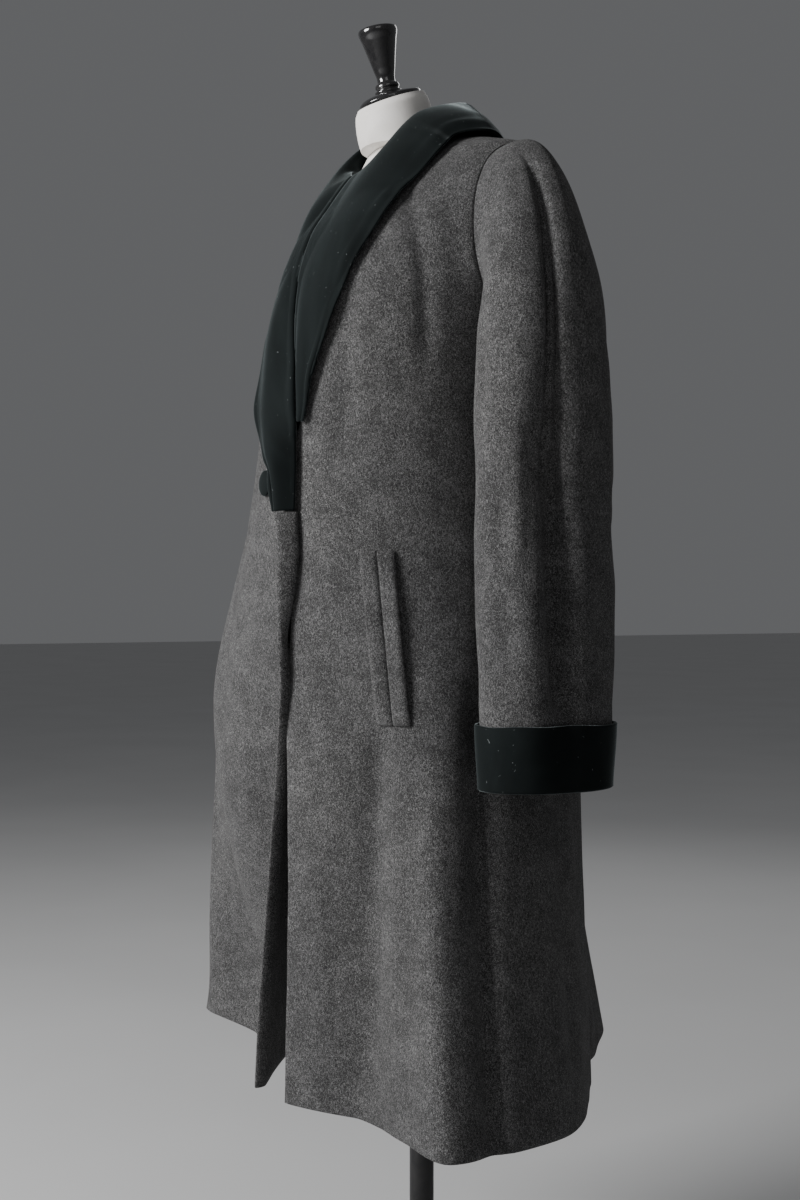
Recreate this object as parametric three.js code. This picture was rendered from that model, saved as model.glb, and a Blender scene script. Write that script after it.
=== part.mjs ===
// A long wool overcoat with a velvet shawl collar and turned-back velvet cuffs, buttoned once, on a limbless
// dress form with a pole and a round foot.
//
// Millimetres, +Z up. The wearer's front is towards -Y and the wearer's left is towards +X. The origin is the
// centre of the foot's underside. Angles around the body are in degrees from the front, positive towards the
// wearer's left. Each piece of cloth is a thin closed wall whose inside lies on the body surface.
import * as THREE from 'three';

// Driving dimensions of the cloth
const WOOL = 2.2;
const VELVET = 2.6;
const FACING = 1.4;
const SEAM = 0.3;
const HEM_Z = 320;
const MID_Z = 760;
const WAIST_Z = 1100;
const ARMHOLE_BOTTOM = 1200;
const ARMHOLE_TOP = 1388;
const ARMHOLE_WIDTH = 15.5;
const SIDE_SEAM_LOW = 77.5;
const SIDE_SEAM_HIGH = 90;
const FLAP_TOP = 988;
const LAPEL_END = 1085;

// Driving dimensions of the stand
const FOOT_RADIUS = 200;
const FOOT_HEIGHT = 24;
const POLE_RADIUS = 14.5;
const TORSO_BOTTOM = 770;
const TORSO_TOP = 1425;

// The coat's horizontal sections above the waist: half width, depth to the front and to the back, and the
// exponent of the rounded section (2 is an ellipse, less is a lens), with its own one for the right chest, which
// is flatter because the closed right front pulls on it.
const SECTIONS = [
  { z: 1100, half: 174, front: 188, back: 150, power: 2.2, right: 2.1 },
  { z: 1200, half: 188, front: 180, back: 150, power: 2.25, right: 1.7 },
  { z: 1250, half: 200, front: 171, back: 148, power: 2.25, right: 1.5 },
  { z: 1300, half: 206, front: 152, back: 142, power: 2.2, right: 1.32 },
  { z: 1340, half: 207, front: 124, back: 130, power: 2.0, right: 1.3 },
  { z: 1370, half: 206, front: 101, back: 114, power: 1.8, right: 1.32 },
  { z: 1388, half: 203, front: 85, back: 99, power: 1.6, right: 1.45 },
  { z: 1396, half: 183, front: 78, back: 92, power: 1.55, right: 1.55 },
  { z: 1405, half: 154, front: 72, back: 86, power: 1.55, right: 1.55 },
  { z: 1415, half: 124, front: 68, back: 80, power: 1.65, right: 1.65 },
  { z: 1428, half: 97, front: 64, back: 73, power: 1.8, right: 1.8 },
  { z: 1445, half: 76, front: 61, back: 62, power: 2, right: 2 },
];

// Between these angles to the wearer's right the flatter chest comes in and goes out again.
const CHEST = { from: 1, full: 14, fading: 54, gone: 74 };

// The skirt's outline: radius at the middle height and at the hem for each angle, crests and valleys included,
// and how much higher than the lowest hem the hem is there.
const SKIRT = [
  { angle: 0, mid: 196, hem: 193, lift: 4 },
  { angle: 20, mid: 188, hem: 177, lift: 2 },
  { angle: 33, mid: 185, hem: 168, lift: 0 },
  { angle: 45, mid: 190, hem: 190, lift: 0 },
  { angle: 55, mid: 198, hem: 236, lift: 0 },
  { angle: 65, mid: 205, hem: 303, lift: 0 },
  { angle: 74, mid: 204, hem: 288, lift: 0 },
  { angle: 84, mid: 199, hem: 276, lift: 0 },
  { angle: 95, mid: 197, hem: 264, lift: 0 },
  { angle: 107, mid: 195, hem: 240, lift: 0 },
  { angle: 120, mid: 190, hem: 216, lift: 2 },
  { angle: 135, mid: 186, hem: 202, lift: 4 },
  { angle: 150, mid: 184, hem: 199, lift: 4 },
  { angle: 162, mid: 184, hem: 208, lift: 2 },
  { angle: 172, mid: 187, hem: 236, lift: 0 },
  { angle: 181, mid: 194, hem: 268, lift: 0 },
  { angle: 190, mid: 207, hem: 322, lift: 4 },
  { angle: 200, mid: 220, hem: 362, lift: 8 },
  { angle: 210, mid: 224, hem: 350, lift: 8 },
  { angle: 222, mid: 214, hem: 300, lift: 8 },
  { angle: 236, mid: 203, hem: 256, lift: 10 },
  { angle: 250, mid: 199, hem: 258, lift: 12 },
  { angle: 265, mid: 203, hem: 282, lift: 18 },
  { angle: 280, mid: 216, hem: 322, lift: 25 },
  { angle: 292, mid: 256, hem: 354, lift: 28 },
  { angle: 302, mid: 289, hem: 315, lift: 40 },
  { angle: 307, mid: 282, hem: 225, lift: 28 },
  { angle: 310, mid: 275, hem: 190, lift: 1 },
  { angle: 312, mid: 270, hem: 174, lift: 0 },
  { angle: 320, mid: 252, hem: 170, lift: 0 },
  { angle: 332, mid: 226, hem: 176, lift: 0 },
  { angle: 346, mid: 204, hem: 190, lift: 2 },
];

// The line where the two rolled lapels meet, and the free edge of the left front, which passes under the right
// front near the button.
const LINES = [
  { z: 320, meet: -35, leftEdge: 5.7 },
  { z: 560, meet: -20, leftEdge: 8 },
  { z: 800, meet: 3, leftEdge: 8 },
  { z: 860, meet: 9, leftEdge: 10 },
  { z: 900, meet: 12, leftEdge: 8 },
  { z: 950, meet: 14, leftEdge: 1 },
  { z: 1000, meet: 14.5, leftEdge: -5 },
  { z: 1050, meet: 15, leftEdge: 3 },
  { z: 1084, meet: 15, leftEdge: 13.5 },
  { z: 1110, meet: 14, leftEdge: 15.6 },
  { z: 1140, meet: 12, leftEdge: 13.6 },
  { z: 1200, meet: 9, leftEdge: 10.6 },
  { z: 1250, meet: 7, leftEdge: 8.6 },
  { z: 1300, meet: 5, leftEdge: 6.6 },
  { z: 1350, meet: 3, leftEdge: 4.6 },
  { z: 1384, meet: 2, leftEdge: 3.8 },
];

// The neckline on the fronts: the angle where the neck opening cuts each level above the neck pit.
const NECKLINE = [
  { z: 1384, angle: 6 },
  { z: 1392, angle: 22 },
  { z: 1400, angle: 36 },
  { z: 1410, angle: 52 },
  { z: 1420, angle: 66 },
  { z: 1432, angle: 78 },
  { z: 1441, angle: 84 },
];

// The right front's rolled-out edge below the button: the angle where it turns, how far the front dips inward
// there, its free edge, and the roundness of the turn.
const FLAP = [
  { z: 320, root: -50, dip: 6, edgeX: -58, edgeY: -193, roll: 4 },
  { z: 450, root: -32, dip: 33, edgeX: -28, edgeY: -200, roll: 5 },
  { z: 600, root: -15, dip: 40, edgeX: -6, edgeY: -199, roll: 7 },
  { z: 700, root: -4, dip: 32, edgeX: 12, edgeY: -200, roll: 8 },
  { z: 800, root: 3, dip: 14, edgeX: 28, edgeY: -204, roll: 9 },
  { z: 860, root: 8.4, dip: 0, edgeX: 32, edgeY: -205, roll: 9 },
  { z: 950, root: 13.6, dip: 0, edgeX: 34, edgeY: -206, roll: 9 },
  { z: 988, root: 13, dip: 0, edgeX: 26, edgeY: -207, roll: 9 },
];

// Stations of the collar from the centre back to the lapel's end: the height where it is sewn on, and at the
// back of the neck also the angle (root), the top of its roll, and where its outer edge lies and how far off
// the coat.
const COLLAR_LEFT = [
  { root: 180, rootZ: 1442.5, rollX: 0, rollY: 55, rollZ: 1482, edge: 180, edgeZ: 1416, lift: 2 },
  { root: 135, rootZ: 1442.5, rollX: 42, rollY: 41, rollZ: 1477, edge: 142, edgeZ: 1412, lift: 2 },
  { root: 92, rootZ: 1445, rollX: 68, rollY: 2, rollZ: 1466, edge: 101, edgeZ: 1408, lift: 2 },
  { root: 68, rootZ: 1422, rollX: 66, rollY: -40, rollZ: 1451, edge: 77, edgeZ: 1401, lift: 2 },
  { root: 34, rootZ: 1399, rollX: 63, rollY: -83, rollZ: 1409, edge: 68, edgeZ: 1380, lift: 2 },
  { root: 7.5, rootZ: 1364, rollX: 62, rollY: -127, rollZ: 1347, edge: 54, edgeZ: 1335, lift: 2 },
  { root: 7.2, rootZ: 1300, rollX: 58, rollY: -163, rollZ: 1286, edge: 42, edgeZ: 1280, lift: 2 },
  { root: 9.4, rootZ: 1250, rollX: 56, rollY: -180, rollZ: 1240, edge: 34, edgeZ: 1236, lift: 2 },
  { root: 11.4, rootZ: 1200, rollX: 55, rollY: -188, rollZ: 1194, edge: 28, edgeZ: 1190, lift: 2 },
  { root: 14.4, rootZ: 1140, rollX: 55, rollY: -192, rollZ: 1137, edge: 21.5, edgeZ: 1135, lift: 2 },
  { root: 16.4, rootZ: 1092, rollX: 56, rollY: -192, rollZ: 1090, edge: 17.7, edgeZ: 1090, lift: 2 },
];
const COLLAR_RIGHT = [
  { root: 180, rootZ: 1442.5, rollX: 0, rollY: 55, rollZ: 1482, edge: 180, edgeZ: 1416, lift: 2 },
  { root: 135, rootZ: 1442.5, rollX: 42, rollY: 41, rollZ: 1477, edge: 142, edgeZ: 1412, lift: 2 },
  { root: 92, rootZ: 1445, rollX: 68, rollY: 2, rollZ: 1464, edge: 101, edgeZ: 1408, lift: 2 },
  { root: 68, rootZ: 1422, rollX: 63, rollY: -45, rollZ: 1440, edge: 77, edgeZ: 1401, lift: 2 },
  { root: 34, rootZ: 1399, rollX: 50, rollY: -88, rollZ: 1398, edge: 68, edgeZ: 1380, lift: 2 },
  { root: 7.5, rootZ: 1364, rollX: 27, rollY: -134, rollZ: 1345, edge: 52, edgeZ: 1330, lift: 2 },
  { root: 2.8, rootZ: 1300, rollX: 12, rollY: -163, rollZ: 1286, edge: 40, edgeZ: 1272, lift: 2 },
  { root: 4.8, rootZ: 1250, rollX: 5, rollY: -183, rollZ: 1240, edge: 32, edgeZ: 1230, lift: 2 },
  { root: 6.8, rootZ: 1200, rollX: 2, rollY: -196, rollZ: 1190, edge: 25, edgeZ: 1180, lift: 2 },
  { root: 11.2, rootZ: 1120, rollX: -6, rollY: -206, rollZ: 1114, edge: 12, edgeZ: 1108, lift: 3 },
  { root: 13.4, rootZ: 1060, rollX: -27, rollY: -215, rollZ: 1056, edge: -1, edgeZ: 1052, lift: 8 },
  { root: 13.4, rootZ: 1035, rollX: -33, rollY: -213, rollZ: 1033, edge: -5.6, edgeZ: 1032, lift: 10 },
  { root: 13.4, rootZ: 992, rollX: -35, rollY: -209, rollZ: 991, edge: -7.2, edgeZ: 990, lift: 9 },
];

// The left sleeve below the armhole: centre and half widths of each level, and the long fold on its outer side.
const SLEEVE = [
  { z: 1165, x: 253, y: -2, halfX: 58, halfY: 70, fold: 20, depth: 5 },
  { z: 1080, x: 251, y: 3, halfX: 57, halfY: 79, fold: 18, depth: 10 },
  { z: 1000, x: 250, y: 4, halfX: 56, halfY: 79, fold: 17, depth: 13 },
  { z: 900, x: 254, y: 1, halfX: 54, halfY: 80, fold: 10, depth: 14 },
  { z: 800, x: 264, y: -4, halfX: 50, halfY: 76, fold: 8, depth: 8 },
  { z: 698, x: 270, y: -9, halfX: 48, halfY: 73, fold: 6, depth: 2 },
];
const CUFF_BOTTOM = 695;
const CUFF_TOP = 761;

// The pocket's two welt strips: the line between them, the width of each strip, and how much further round the
// right one is on its fuller side of the skirt.
const POCKET = {
  topZ: 943, topAngle: 44.5, bottomZ: 756, bottomAngle: 50.5, stripWidth: 18.5, rightFurther: 17,
};

// The form's own sections.
const FORM = [
  { z: 770, half: 150, front: 108, back: 118 },
  { z: 860, half: 168, front: 118, back: 132 },
  { z: 960, half: 158, front: 112, back: 118 },
  { z: 1060, half: 120, front: 98, back: 92 },
  { z: 1150, half: 136, front: 112, back: 100 },
  { z: 1240, half: 160, front: 132, back: 116 },
  { z: 1320, half: 190, front: 118, back: 122 },
  { z: 1360, half: 205, front: 112, back: 120 },
  { z: 1390, half: 210, front: 110, back: 112 },
  { z: 1425, half: 120, front: 90, back: 80 },
];
const NECK = [
  { z: 1425.3, y: -25, radius: 51, tilt: 0 },
  { z: 1440, y: -31, radius: 49, tilt: 7 },
  { z: 1458, y: -37, radius: 47, tilt: 14 },
  { z: 1474, y: -41, radius: 45, tilt: 19 },
  { z: 1482, y: -42.8, radius: 41, tilt: 20 },
];
const NECK_CAP = [
  { z: 1482.3, y: -42.9, radius: 37.5, tilt: 20 },
  { z: 1485.3, y: -44, radius: 37.5, tilt: 20 },
  { z: 1487.6, y: -44.9, radius: 34, tilt: 18 },
  { z: 1490.1, y: -45.5, radius: 19, tilt: 12 },
];
const KNOB_PROFILE = [
  { r: 15.5, h: 0 }, { r: 16, h: 3 }, { r: 13, h: 5.5 }, { r: 14.5, h: 8.5 }, { r: 14, h: 11 },
  { r: 10.8, h: 14 }, { r: 10.6, h: 17 }, { r: 13.2, h: 30 }, { r: 16.8, h: 46 }, { r: 20.3, h: 61 },
  { r: 23.2, h: 73 }, { r: 22.6, h: 75.6 }, { r: 20, h: 77 },
];
const BUTTON = { angle: -3.5, z: 1024, radius: 15, height: 6 };

const radians = (degrees) => (degrees * Math.PI) / 180;
const mix = (a, b, t) => a + (b - a) * t;
const clamp01 = (t) => Math.min(1, Math.max(0, t));
const smooth = (t) => clamp01(t) ** 2 * (3 - 2 * clamp01(t));
const bump = (distance, width) => Math.exp(-((distance / width) ** 2));

// A value at x from a table's column, by a cubic curve through the rows that never overshoots them.
function valueAt(rows, key, column, x) {
  const last = rows.length - 1;
  if (x <= rows[0][key]) return rows[0][column];
  if (x >= rows[last][key]) return rows[last][column];
  let k = 0;
  while (x > rows[k + 1][key]) k += 1;
  const step = (i) => rows[i + 1][key] - rows[i][key];
  const rise = (i) => (rows[i + 1][column] - rows[i][column]) / step(i);
  const slope = (i) => {
    if (i === 0) return rise(0);
    if (i === last) return rise(last - 1);
    const before = rise(i - 1);
    const after = rise(i);
    return before * after <= 0 ? 0 : (2 * before * after) / (before + after);
  };
  const h = step(k);
  const t = (x - rows[k][key]) / h;
  return (
    rows[k][column] * (1 + 2 * t) * (1 - t) ** 2 +
    rows[k + 1][column] * t ** 2 * (3 - 2 * t) +
    h * slope(k) * t * (1 - t) ** 2 -
    h * slope(k + 1) * t ** 2 * (1 - t)
  );
}

const wrapped = [-360, 0, 360].flatMap((turn) => SKIRT.map((row) => ({ ...row, angle: row.angle + turn })));
const skirtAt = (column, angle) => valueAt(wrapped, 'angle', column, angle);

// The radius of a rounded section at an angle.
function sectionRadius(rows, angle, z, power) {
  const depth = Math.cos(radians(angle)) > 0 ? 'front' : 'back';
  const across = Math.abs(Math.sin(radians(angle))) / valueAt(rows, 'z', 'half', z);
  const along = Math.abs(Math.cos(radians(angle))) / valueAt(rows, 'z', depth, z);
  return (across ** power + along ** power) ** (-1 / power);
}

// The coat's radius above the waist, with its flatter right chest.
function chestRadius(angle, z) {
  const toRight = 180 - ((angle + 540) % 360);
  const inFrom = smooth((toRight - CHEST.from) / (CHEST.full - CHEST.from));
  const flatness = inFrom * smooth((CHEST.gone - toRight) / (CHEST.gone - CHEST.fading));
  const power = mix(valueAt(SECTIONS, 'z', 'power', z), valueAt(SECTIONS, 'z', 'right', z), flatness);
  return sectionRadius(SECTIONS, angle, z, power);
}

// The body surface's radius: sections above the waist, and below it a curve down to the skirt's outline.
function bodyRadius(angle, z) {
  if (z >= WAIST_Z) return chestRadius(angle, z);
  const levels = [
    { z: HEM_Z - 20, r: skirtAt('hem', angle) },
    { z: MID_Z, r: skirtAt('mid', angle) },
    { z: WAIST_Z, r: chestRadius(angle, WAIST_Z) },
    { z: WAIST_Z + 100, r: chestRadius(angle, WAIST_Z + 100) },
  ];
  return valueAt(levels, 'z', 'r', z);
}

const bodyPoint = (angle, z) => {
  const r = bodyRadius(angle, z);
  return new THREE.Vector3(r * Math.sin(radians(angle)), -r * Math.cos(radians(angle)), z);
};

function bodyNormal(angle, z) {
  const around = bodyPoint(angle + 0.8, z).sub(bodyPoint(angle - 0.8, z));
  const up = bodyPoint(angle, z + 1.5).sub(bodyPoint(angle, z - 1.5));
  return around.cross(up).normalize();
}

const onBody = (angle, z, out = 0) => bodyPoint(angle, z).addScaledVector(bodyNormal(angle, z), out);

// A closed wall between an inner and an outer grid of points, rows by columns. Columns run to the left as the
// outside is looked at from outside with rows going up, so that every face looks out.
function wallGeometry(inner, outer, closed = false) {
  const rows = inner.length;
  const columns = inner[0].length;
  const positions = [...inner.flat(), ...outer.flat()].flatMap((p) => [p.x, p.y, p.z]);
  const at = (side, i, j) => side * rows * columns + i * columns + (j % columns);
  const faces = [];
  const quad = (a, b, c, d) => faces.push(a, b, c, a, c, d);
  const spans = closed ? columns : columns - 1;
  for (let j = 0; j < spans; j += 1) {
    for (let i = 0; i < rows - 1; i += 1) {
      quad(at(1, i, j), at(1, i, j + 1), at(1, i + 1, j + 1), at(1, i + 1, j));
      quad(at(0, i, j), at(0, i + 1, j), at(0, i + 1, j + 1), at(0, i, j + 1));
    }
    quad(at(0, 0, j), at(0, 0, j + 1), at(1, 0, j + 1), at(1, 0, j));
    quad(at(1, rows - 1, j), at(1, rows - 1, j + 1), at(0, rows - 1, j + 1), at(0, rows - 1, j));
  }
  for (let i = 0; i < rows - 1 && !closed; i += 1) {
    const end = columns - 1;
    quad(at(1, i, 0), at(1, i + 1, 0), at(0, i + 1, 0), at(0, i, 0));
    quad(at(0, i, end), at(0, i + 1, end), at(1, i + 1, end), at(1, i, end));
  }
  const geometry = new THREE.BufferGeometry();
  geometry.setAttribute('position', new THREE.Float32BufferAttribute(positions, 3));
  geometry.setIndex(faces);
  return geometry;
}

// The outward direction at each point of a grid, from its neighbours.
function gridNormals(grid, closed = false) {
  const rows = grid.length;
  const columns = grid[0].length;
  return grid.map((row, i) =>
    row.map((_, j) => {
      const next = closed ? (j + 1) % columns : Math.min(j + 1, columns - 1);
      const before = closed ? (j + columns - 1) % columns : Math.max(j - 1, 0);
      const around = row[next].clone().sub(row[before]);
      const up = grid[Math.min(i + 1, rows - 1)][j].clone().sub(grid[Math.max(i - 1, 0)][j]);
      return around.cross(up).normalize();
    }),
  );
}

const movedOut = (grid, normals, out) =>
  grid.map((row, i) => row.map((p, j) => p.clone().addScaledVector(normals[i][j], out)));

const mirrored = (grid) => grid.map((row) => row.map((p) => new THREE.Vector3(-p.x, p.y, p.z)).reverse());

// A closed solid through rings of points, each ring running anticlockwise as seen from above, lowest first.
function loftGeometry(rings) {
  const columns = rings[0].length;
  const middle = (ring) => ring.reduce((sum, p) => sum.add(p), new THREE.Vector3()).divideScalar(columns);
  const points = [...rings.flat(), middle(rings[0]), middle(rings.at(-1))];
  const bottom = rings.length * columns;
  const faces = [];
  for (let j = 0; j < columns; j += 1) {
    const k = (j + 1) % columns;
    for (let i = 0; i < rings.length - 1; i += 1) {
      const low = i * columns;
      const high = low + columns;
      faces.push(low + j, low + k, high + k, low + j, high + k, high + j);
    }
    faces.push(k, j, bottom);
    faces.push(bottom - columns + j, bottom - columns + k, bottom + 1);
  }
  const geometry = new THREE.BufferGeometry();
  geometry.setAttribute('position', new THREE.Float32BufferAttribute(points.flatMap((p) => [p.x, p.y, p.z]), 3));
  geometry.setIndex(faces);
  return geometry;
}

// Heights of the panels' rows: evenly spaced in the skirt, by equal turns round the armhole, then the shoulder.
const SKIRT_ROWS = 15;
const ARMHOLE_ROWS = 10;
const SHOULDER_ROWS = [1393, 1399, 1407, 1417, 1429, 1441];
const armholeTurn = (k) => Math.cos(Math.PI * (1 - k / ARMHOLE_ROWS));
const armholeMiddle = (ARMHOLE_BOTTOM + ARMHOLE_TOP) / 2;
const armholeHalf = (ARMHOLE_TOP - ARMHOLE_BOTTOM) / 2;
const SKIRT_HEIGHTS = Array.from({ length: SKIRT_ROWS }, (_, k) => mix(HEM_Z, ARMHOLE_BOTTOM, k / SKIRT_ROWS));
const ARMHOLE_HEIGHTS = Array.from({ length: ARMHOLE_ROWS + 1 }, (_, k) => armholeMiddle + armholeHalf * armholeTurn(k));
const HEIGHTS = [...SKIRT_HEIGHTS, ...ARMHOLE_HEIGHTS, ...SHOULDER_ROWS];

// The outer edge of the fronts and backs at a height: side seam, then armhole, then shoulder seam.
function outerEdge(z, isFront) {
  if (z <= ARMHOLE_BOTTOM) {
    return mix(SIDE_SEAM_LOW, SIDE_SEAM_HIGH, smooth((z - MID_Z) / (ARMHOLE_BOTTOM - MID_Z)));
  }
  if (z >= ARMHOLE_TOP) return SIDE_SEAM_HIGH;
  const across = Math.sqrt(Math.max(0, 1 - ((z - armholeMiddle) / armholeHalf) ** 2));
  return SIDE_SEAM_HIGH + (isFront ? -1 : 1) * ARMHOLE_WIDTH * across;
}

const seamAngle = (z) => ((SEAM / 2) / bodyRadius(SIDE_SEAM_HIGH, z)) * (180 / Math.PI);
const rowHeight = (z, angle) => z + skirtAt('lift', angle) * clamp01(1 - (z - HEM_Z) / 320);

// The angles of a row's columns, evenly spaced along the cloth. Near the shoulders they crowd towards the
// shoulder seam.
const ROW_SAMPLES = 72;
function columnAngles(from, to, z, columns, seamFirst) {
  const samples = Array.from({ length: ROW_SAMPLES + 1 }, (_, k) => mix(from, to, k / ROW_SAMPLES));
  const points = samples.map((a) => bodyPoint(a, z));
  const lengths = [0];
  for (let k = 1; k <= ROW_SAMPLES; k += 1) lengths.push(lengths[k - 1] + points[k].distanceTo(points[k - 1]));
  const crowd = 1 + 0.5 * smooth((z - 1330) / 60);
  return Array.from({ length: columns }, (_, j) => {
    const t = j / (columns - 1);
    const wanted = lengths[ROW_SAMPLES] * (seamFirst ? t ** crowd : 1 - (1 - t) ** crowd);
    let k = 0;
    while (k < ROW_SAMPLES - 1 && lengths[k + 1] < wanted) k += 1;
    const part = clamp01((wanted - lengths[k]) / (lengths[k + 1] - lengths[k]));
    return mix(samples[k], samples[k + 1], part);
  });
}

// One panel's inner and outer grids from its first and last edge at each height.
function panelGrids(heights, columns, fromAngle, toAngle, seamFirst) {
  const inner = [];
  const outer = [];
  for (const z of heights) {
    const angles = columnAngles(fromAngle(z), toAngle(z), z, columns, seamFirst);
    inner.push(angles.map((a) => onBody(a, rowHeight(z, a))));
    outer.push(angles.map((a) => onBody(a, rowHeight(z, a), WOOL)));
  }
  return { inner, outer };
}

const FRONT_COLUMNS = 14;
const BACK_COLUMNS = 11;

// How far beside the meeting line the panels end and the collars begin, in degrees.
const PANEL_BESIDE_MEET = 1.6;
const COLLAR_BESIDE_MEET = 1.1;
const COLLAR_BESIDE_NECKLINE = 4.4;

function frontInnerEdge(z, side) {
  const neckPit = NECKLINE[0].z;
  if (z >= neckPit) return side * valueAt(NECKLINE, 'z', 'angle', z);
  if (side > 0) return valueAt(LINES, 'z', 'leftEdge', z);
  return z > FLAP_TOP ? valueAt(LINES, 'z', 'meet', z) - PANEL_BESIDE_MEET : valueAt(FLAP, 'z', 'root', z);
}

function frontLeft() {
  const { inner, outer } = panelGrids(
    HEIGHTS,
    FRONT_COLUMNS,
    (z) => frontInnerEdge(z, 1),
    (z) => outerEdge(z, true) - seamAngle(z),
    false,
  );
  return wallGeometry(inner, outer);
}

// The right front lies over the left one near the button, so it is moved out there.
const OVERLAP_OUT = WOOL + FACING + 3 * SEAM + 0.8;
const OVERLAP_FROM = 800;
function overlapOut(angle, z) {
  const raised = OVERLAP_OUT * smooth((angle + 34) / 26) * smooth((LAPEL_END + 80 - z) / 60);
  const dip = valueAt(FLAP, 'z', 'dip', z) * bump(angle - valueAt(FLAP, 'z', 'root', z), 15);
  return raised * smooth((z - OVERLAP_FROM) / 50) - dip;
}

const FLAP_COLUMNS = 4;
const FLAP_HEIGHTS = [...SKIRT_HEIGHTS.filter((z) => z < FLAP_TOP - 20), FLAP_TOP];

// The rolled-out edge at a height: points from the turn to the free edge.
function flapRow(z) {
  const root = valueAt(FLAP, 'z', 'root', z);
  const height = rowHeight(z, root);
  const start = onBody(root, height, overlapOut(root, z));
  const before = onBody(root - 4, height, overlapOut(root - 4, z));
  const end = new THREE.Vector3(valueAt(FLAP, 'z', 'edgeX', z), valueAt(FLAP, 'z', 'edgeY', z), height);
  const ahead = start.clone().sub(before).normalize();
  const control = start.clone().addScaledVector(ahead, valueAt(FLAP, 'z', 'roll', z));
  const curve = new THREE.QuadraticBezierCurve3(start, control, end);
  return Array.from({ length: FLAP_COLUMNS }, (_, k) => curve.getPoint((k + 1) / FLAP_COLUMNS));
}

// The right front's rows: the panel's columns and, up to the top of the rolled-out edge, the edge's columns. The
// outward directions come from the rows themselves, but at the side seam from the body, as the back's do.
function frontRightGrids() {
  const heights = [...FLAP_HEIGHTS, ...HEIGHTS.filter((z) => z > FLAP_TOP + 20)];
  const low = FLAP_HEIGHTS.length;
  const panel = heights.map((z) => {
    const from = -outerEdge(z, true) + seamAngle(z);
    const angles = columnAngles(from, frontInnerEdge(z, -1), z, FRONT_COLUMNS, true);
    return angles.map((a) => onBody(a, rowHeight(z, a), overlapOut(a, z)));
  });
  const seamNormal = (z) => bodyNormal(-outerEdge(z, true) + seamAngle(z), rowHeight(z, -SIDE_SEAM_LOW));
  const edged = FLAP_HEIGHTS.map((z, i) => [...panel[i], ...flapRow(z)]);
  const lowNormals = gridNormals(edged).slice(0, low);
  const highNormals = gridNormals(panel).slice(low);
  [...lowNormals, ...highNormals].forEach((row, i) => {
    row[0] = seamNormal(heights[i]);
  });
  return { edged, lowNormals, high: panel.slice(low), highNormals };
}

// The facing lies on the inside of the rolled-out edge, from just before the turn to the free edge.
function facingRight() {
  const { edged, lowNormals } = frontRightGrids();
  const from = FRONT_COLUMNS - 2;
  const rows = edged.map((row) => row.slice(from));
  const directions = lowNormals.map((row) => row.slice(from));
  return wallGeometry(movedOut(rows, directions, -SEAM - FACING), movedOut(rows, directions, -SEAM));
}

function frontRight() {
  const { edged, lowNormals, high, highNormals } = frontRightGrids();
  return joinedWall(edged, movedOut(edged, lowNormals, WOOL), high, movedOut(high, highNormals, WOOL));
}

// One closed wall from a lower grid with extra columns and an upper grid without them.
function joinedWall(lowInner, lowOuter, highInner, highOuter) {
  const points = [];
  const add = (p) => points.push(p) - 1;
  const index = (grid) => grid.map((row) => row.map(add));
  const [li, lo, hi, ho] = [lowInner, lowOuter, highInner, highOuter].map(index);
  const columns = highInner[0].length;
  const inner = [...li.map((row) => row.slice(0, columns)), ...hi];
  const outer = [...lo.map((row) => row.slice(0, columns)), ...ho];
  const faces = [];
  const quad = (a, b, c, d) => faces.push(a, b, c, a, c, d);
  const sheet = (grid, isOuter, fromJ = 0) => {
    for (let i = 0; i < grid.length - 1; i += 1) {
      for (let j = fromJ; j < grid[i].length - 1; j += 1) {
        const [a, b, c, d] = [grid[i][j], grid[i][j + 1], grid[i + 1][j + 1], grid[i + 1][j]];
        quad(...(isOuter ? [a, b, c, d] : [a, d, c, b]));
      }
    }
  };
  sheet(outer, true);
  sheet(inner, false);
  sheet(lo, true, columns - 1);
  sheet(li, false, columns - 1);
  const bottomInner = li[0];
  const bottomOuter = lo[0];
  for (let j = 0; j < bottomInner.length - 1; j += 1) {
    quad(bottomInner[j], bottomInner[j + 1], bottomOuter[j + 1], bottomOuter[j]);
  }
  const topInner = inner.at(-1);
  const topOuter = outer.at(-1);
  for (let j = 0; j < columns - 1; j += 1) quad(topOuter[j], topOuter[j + 1], topInner[j + 1], topInner[j]);
  for (let j = columns - 1; j < li[0].length - 1; j += 1) {
    quad(lo.at(-1)[j], lo.at(-1)[j + 1], li.at(-1)[j + 1], li.at(-1)[j]);
  }
  for (let i = 0; i < inner.length - 1; i += 1) quad(outer[i][0], outer[i + 1][0], inner[i + 1][0], inner[i][0]);
  for (let i = 0; i < li.length - 1; i += 1) {
    quad(li[i].at(-1), li[i + 1].at(-1), lo[i + 1].at(-1), lo[i].at(-1));
  }
  for (let i = li.length - 1; i < inner.length - 1; i += 1) {
    quad(inner[i][columns - 1], inner[i + 1][columns - 1], outer[i + 1][columns - 1], outer[i][columns - 1]);
  }
  const geometry = new THREE.BufferGeometry();
  geometry.setAttribute('position', new THREE.Float32BufferAttribute(points.flatMap((p) => [p.x, p.y, p.z]), 3));
  geometry.setIndex(faces);
  return geometry;
}

function back(side) {
  const edge = (z) => outerEdge(z, false) + seamAngle(z);
  const centre = (z) => 180 - ((SEAM / 2) / bodyRadius(180, z)) * (180 / Math.PI);
  const { inner, outer } =
    side > 0
      ? panelGrids(HEIGHTS, BACK_COLUMNS, edge, centre, true)
      : panelGrids(HEIGHTS, BACK_COLUMNS, (z) => 360 - centre(z), (z) => 360 - edge(z), false);
  return wallGeometry(inner, outer);
}

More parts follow.
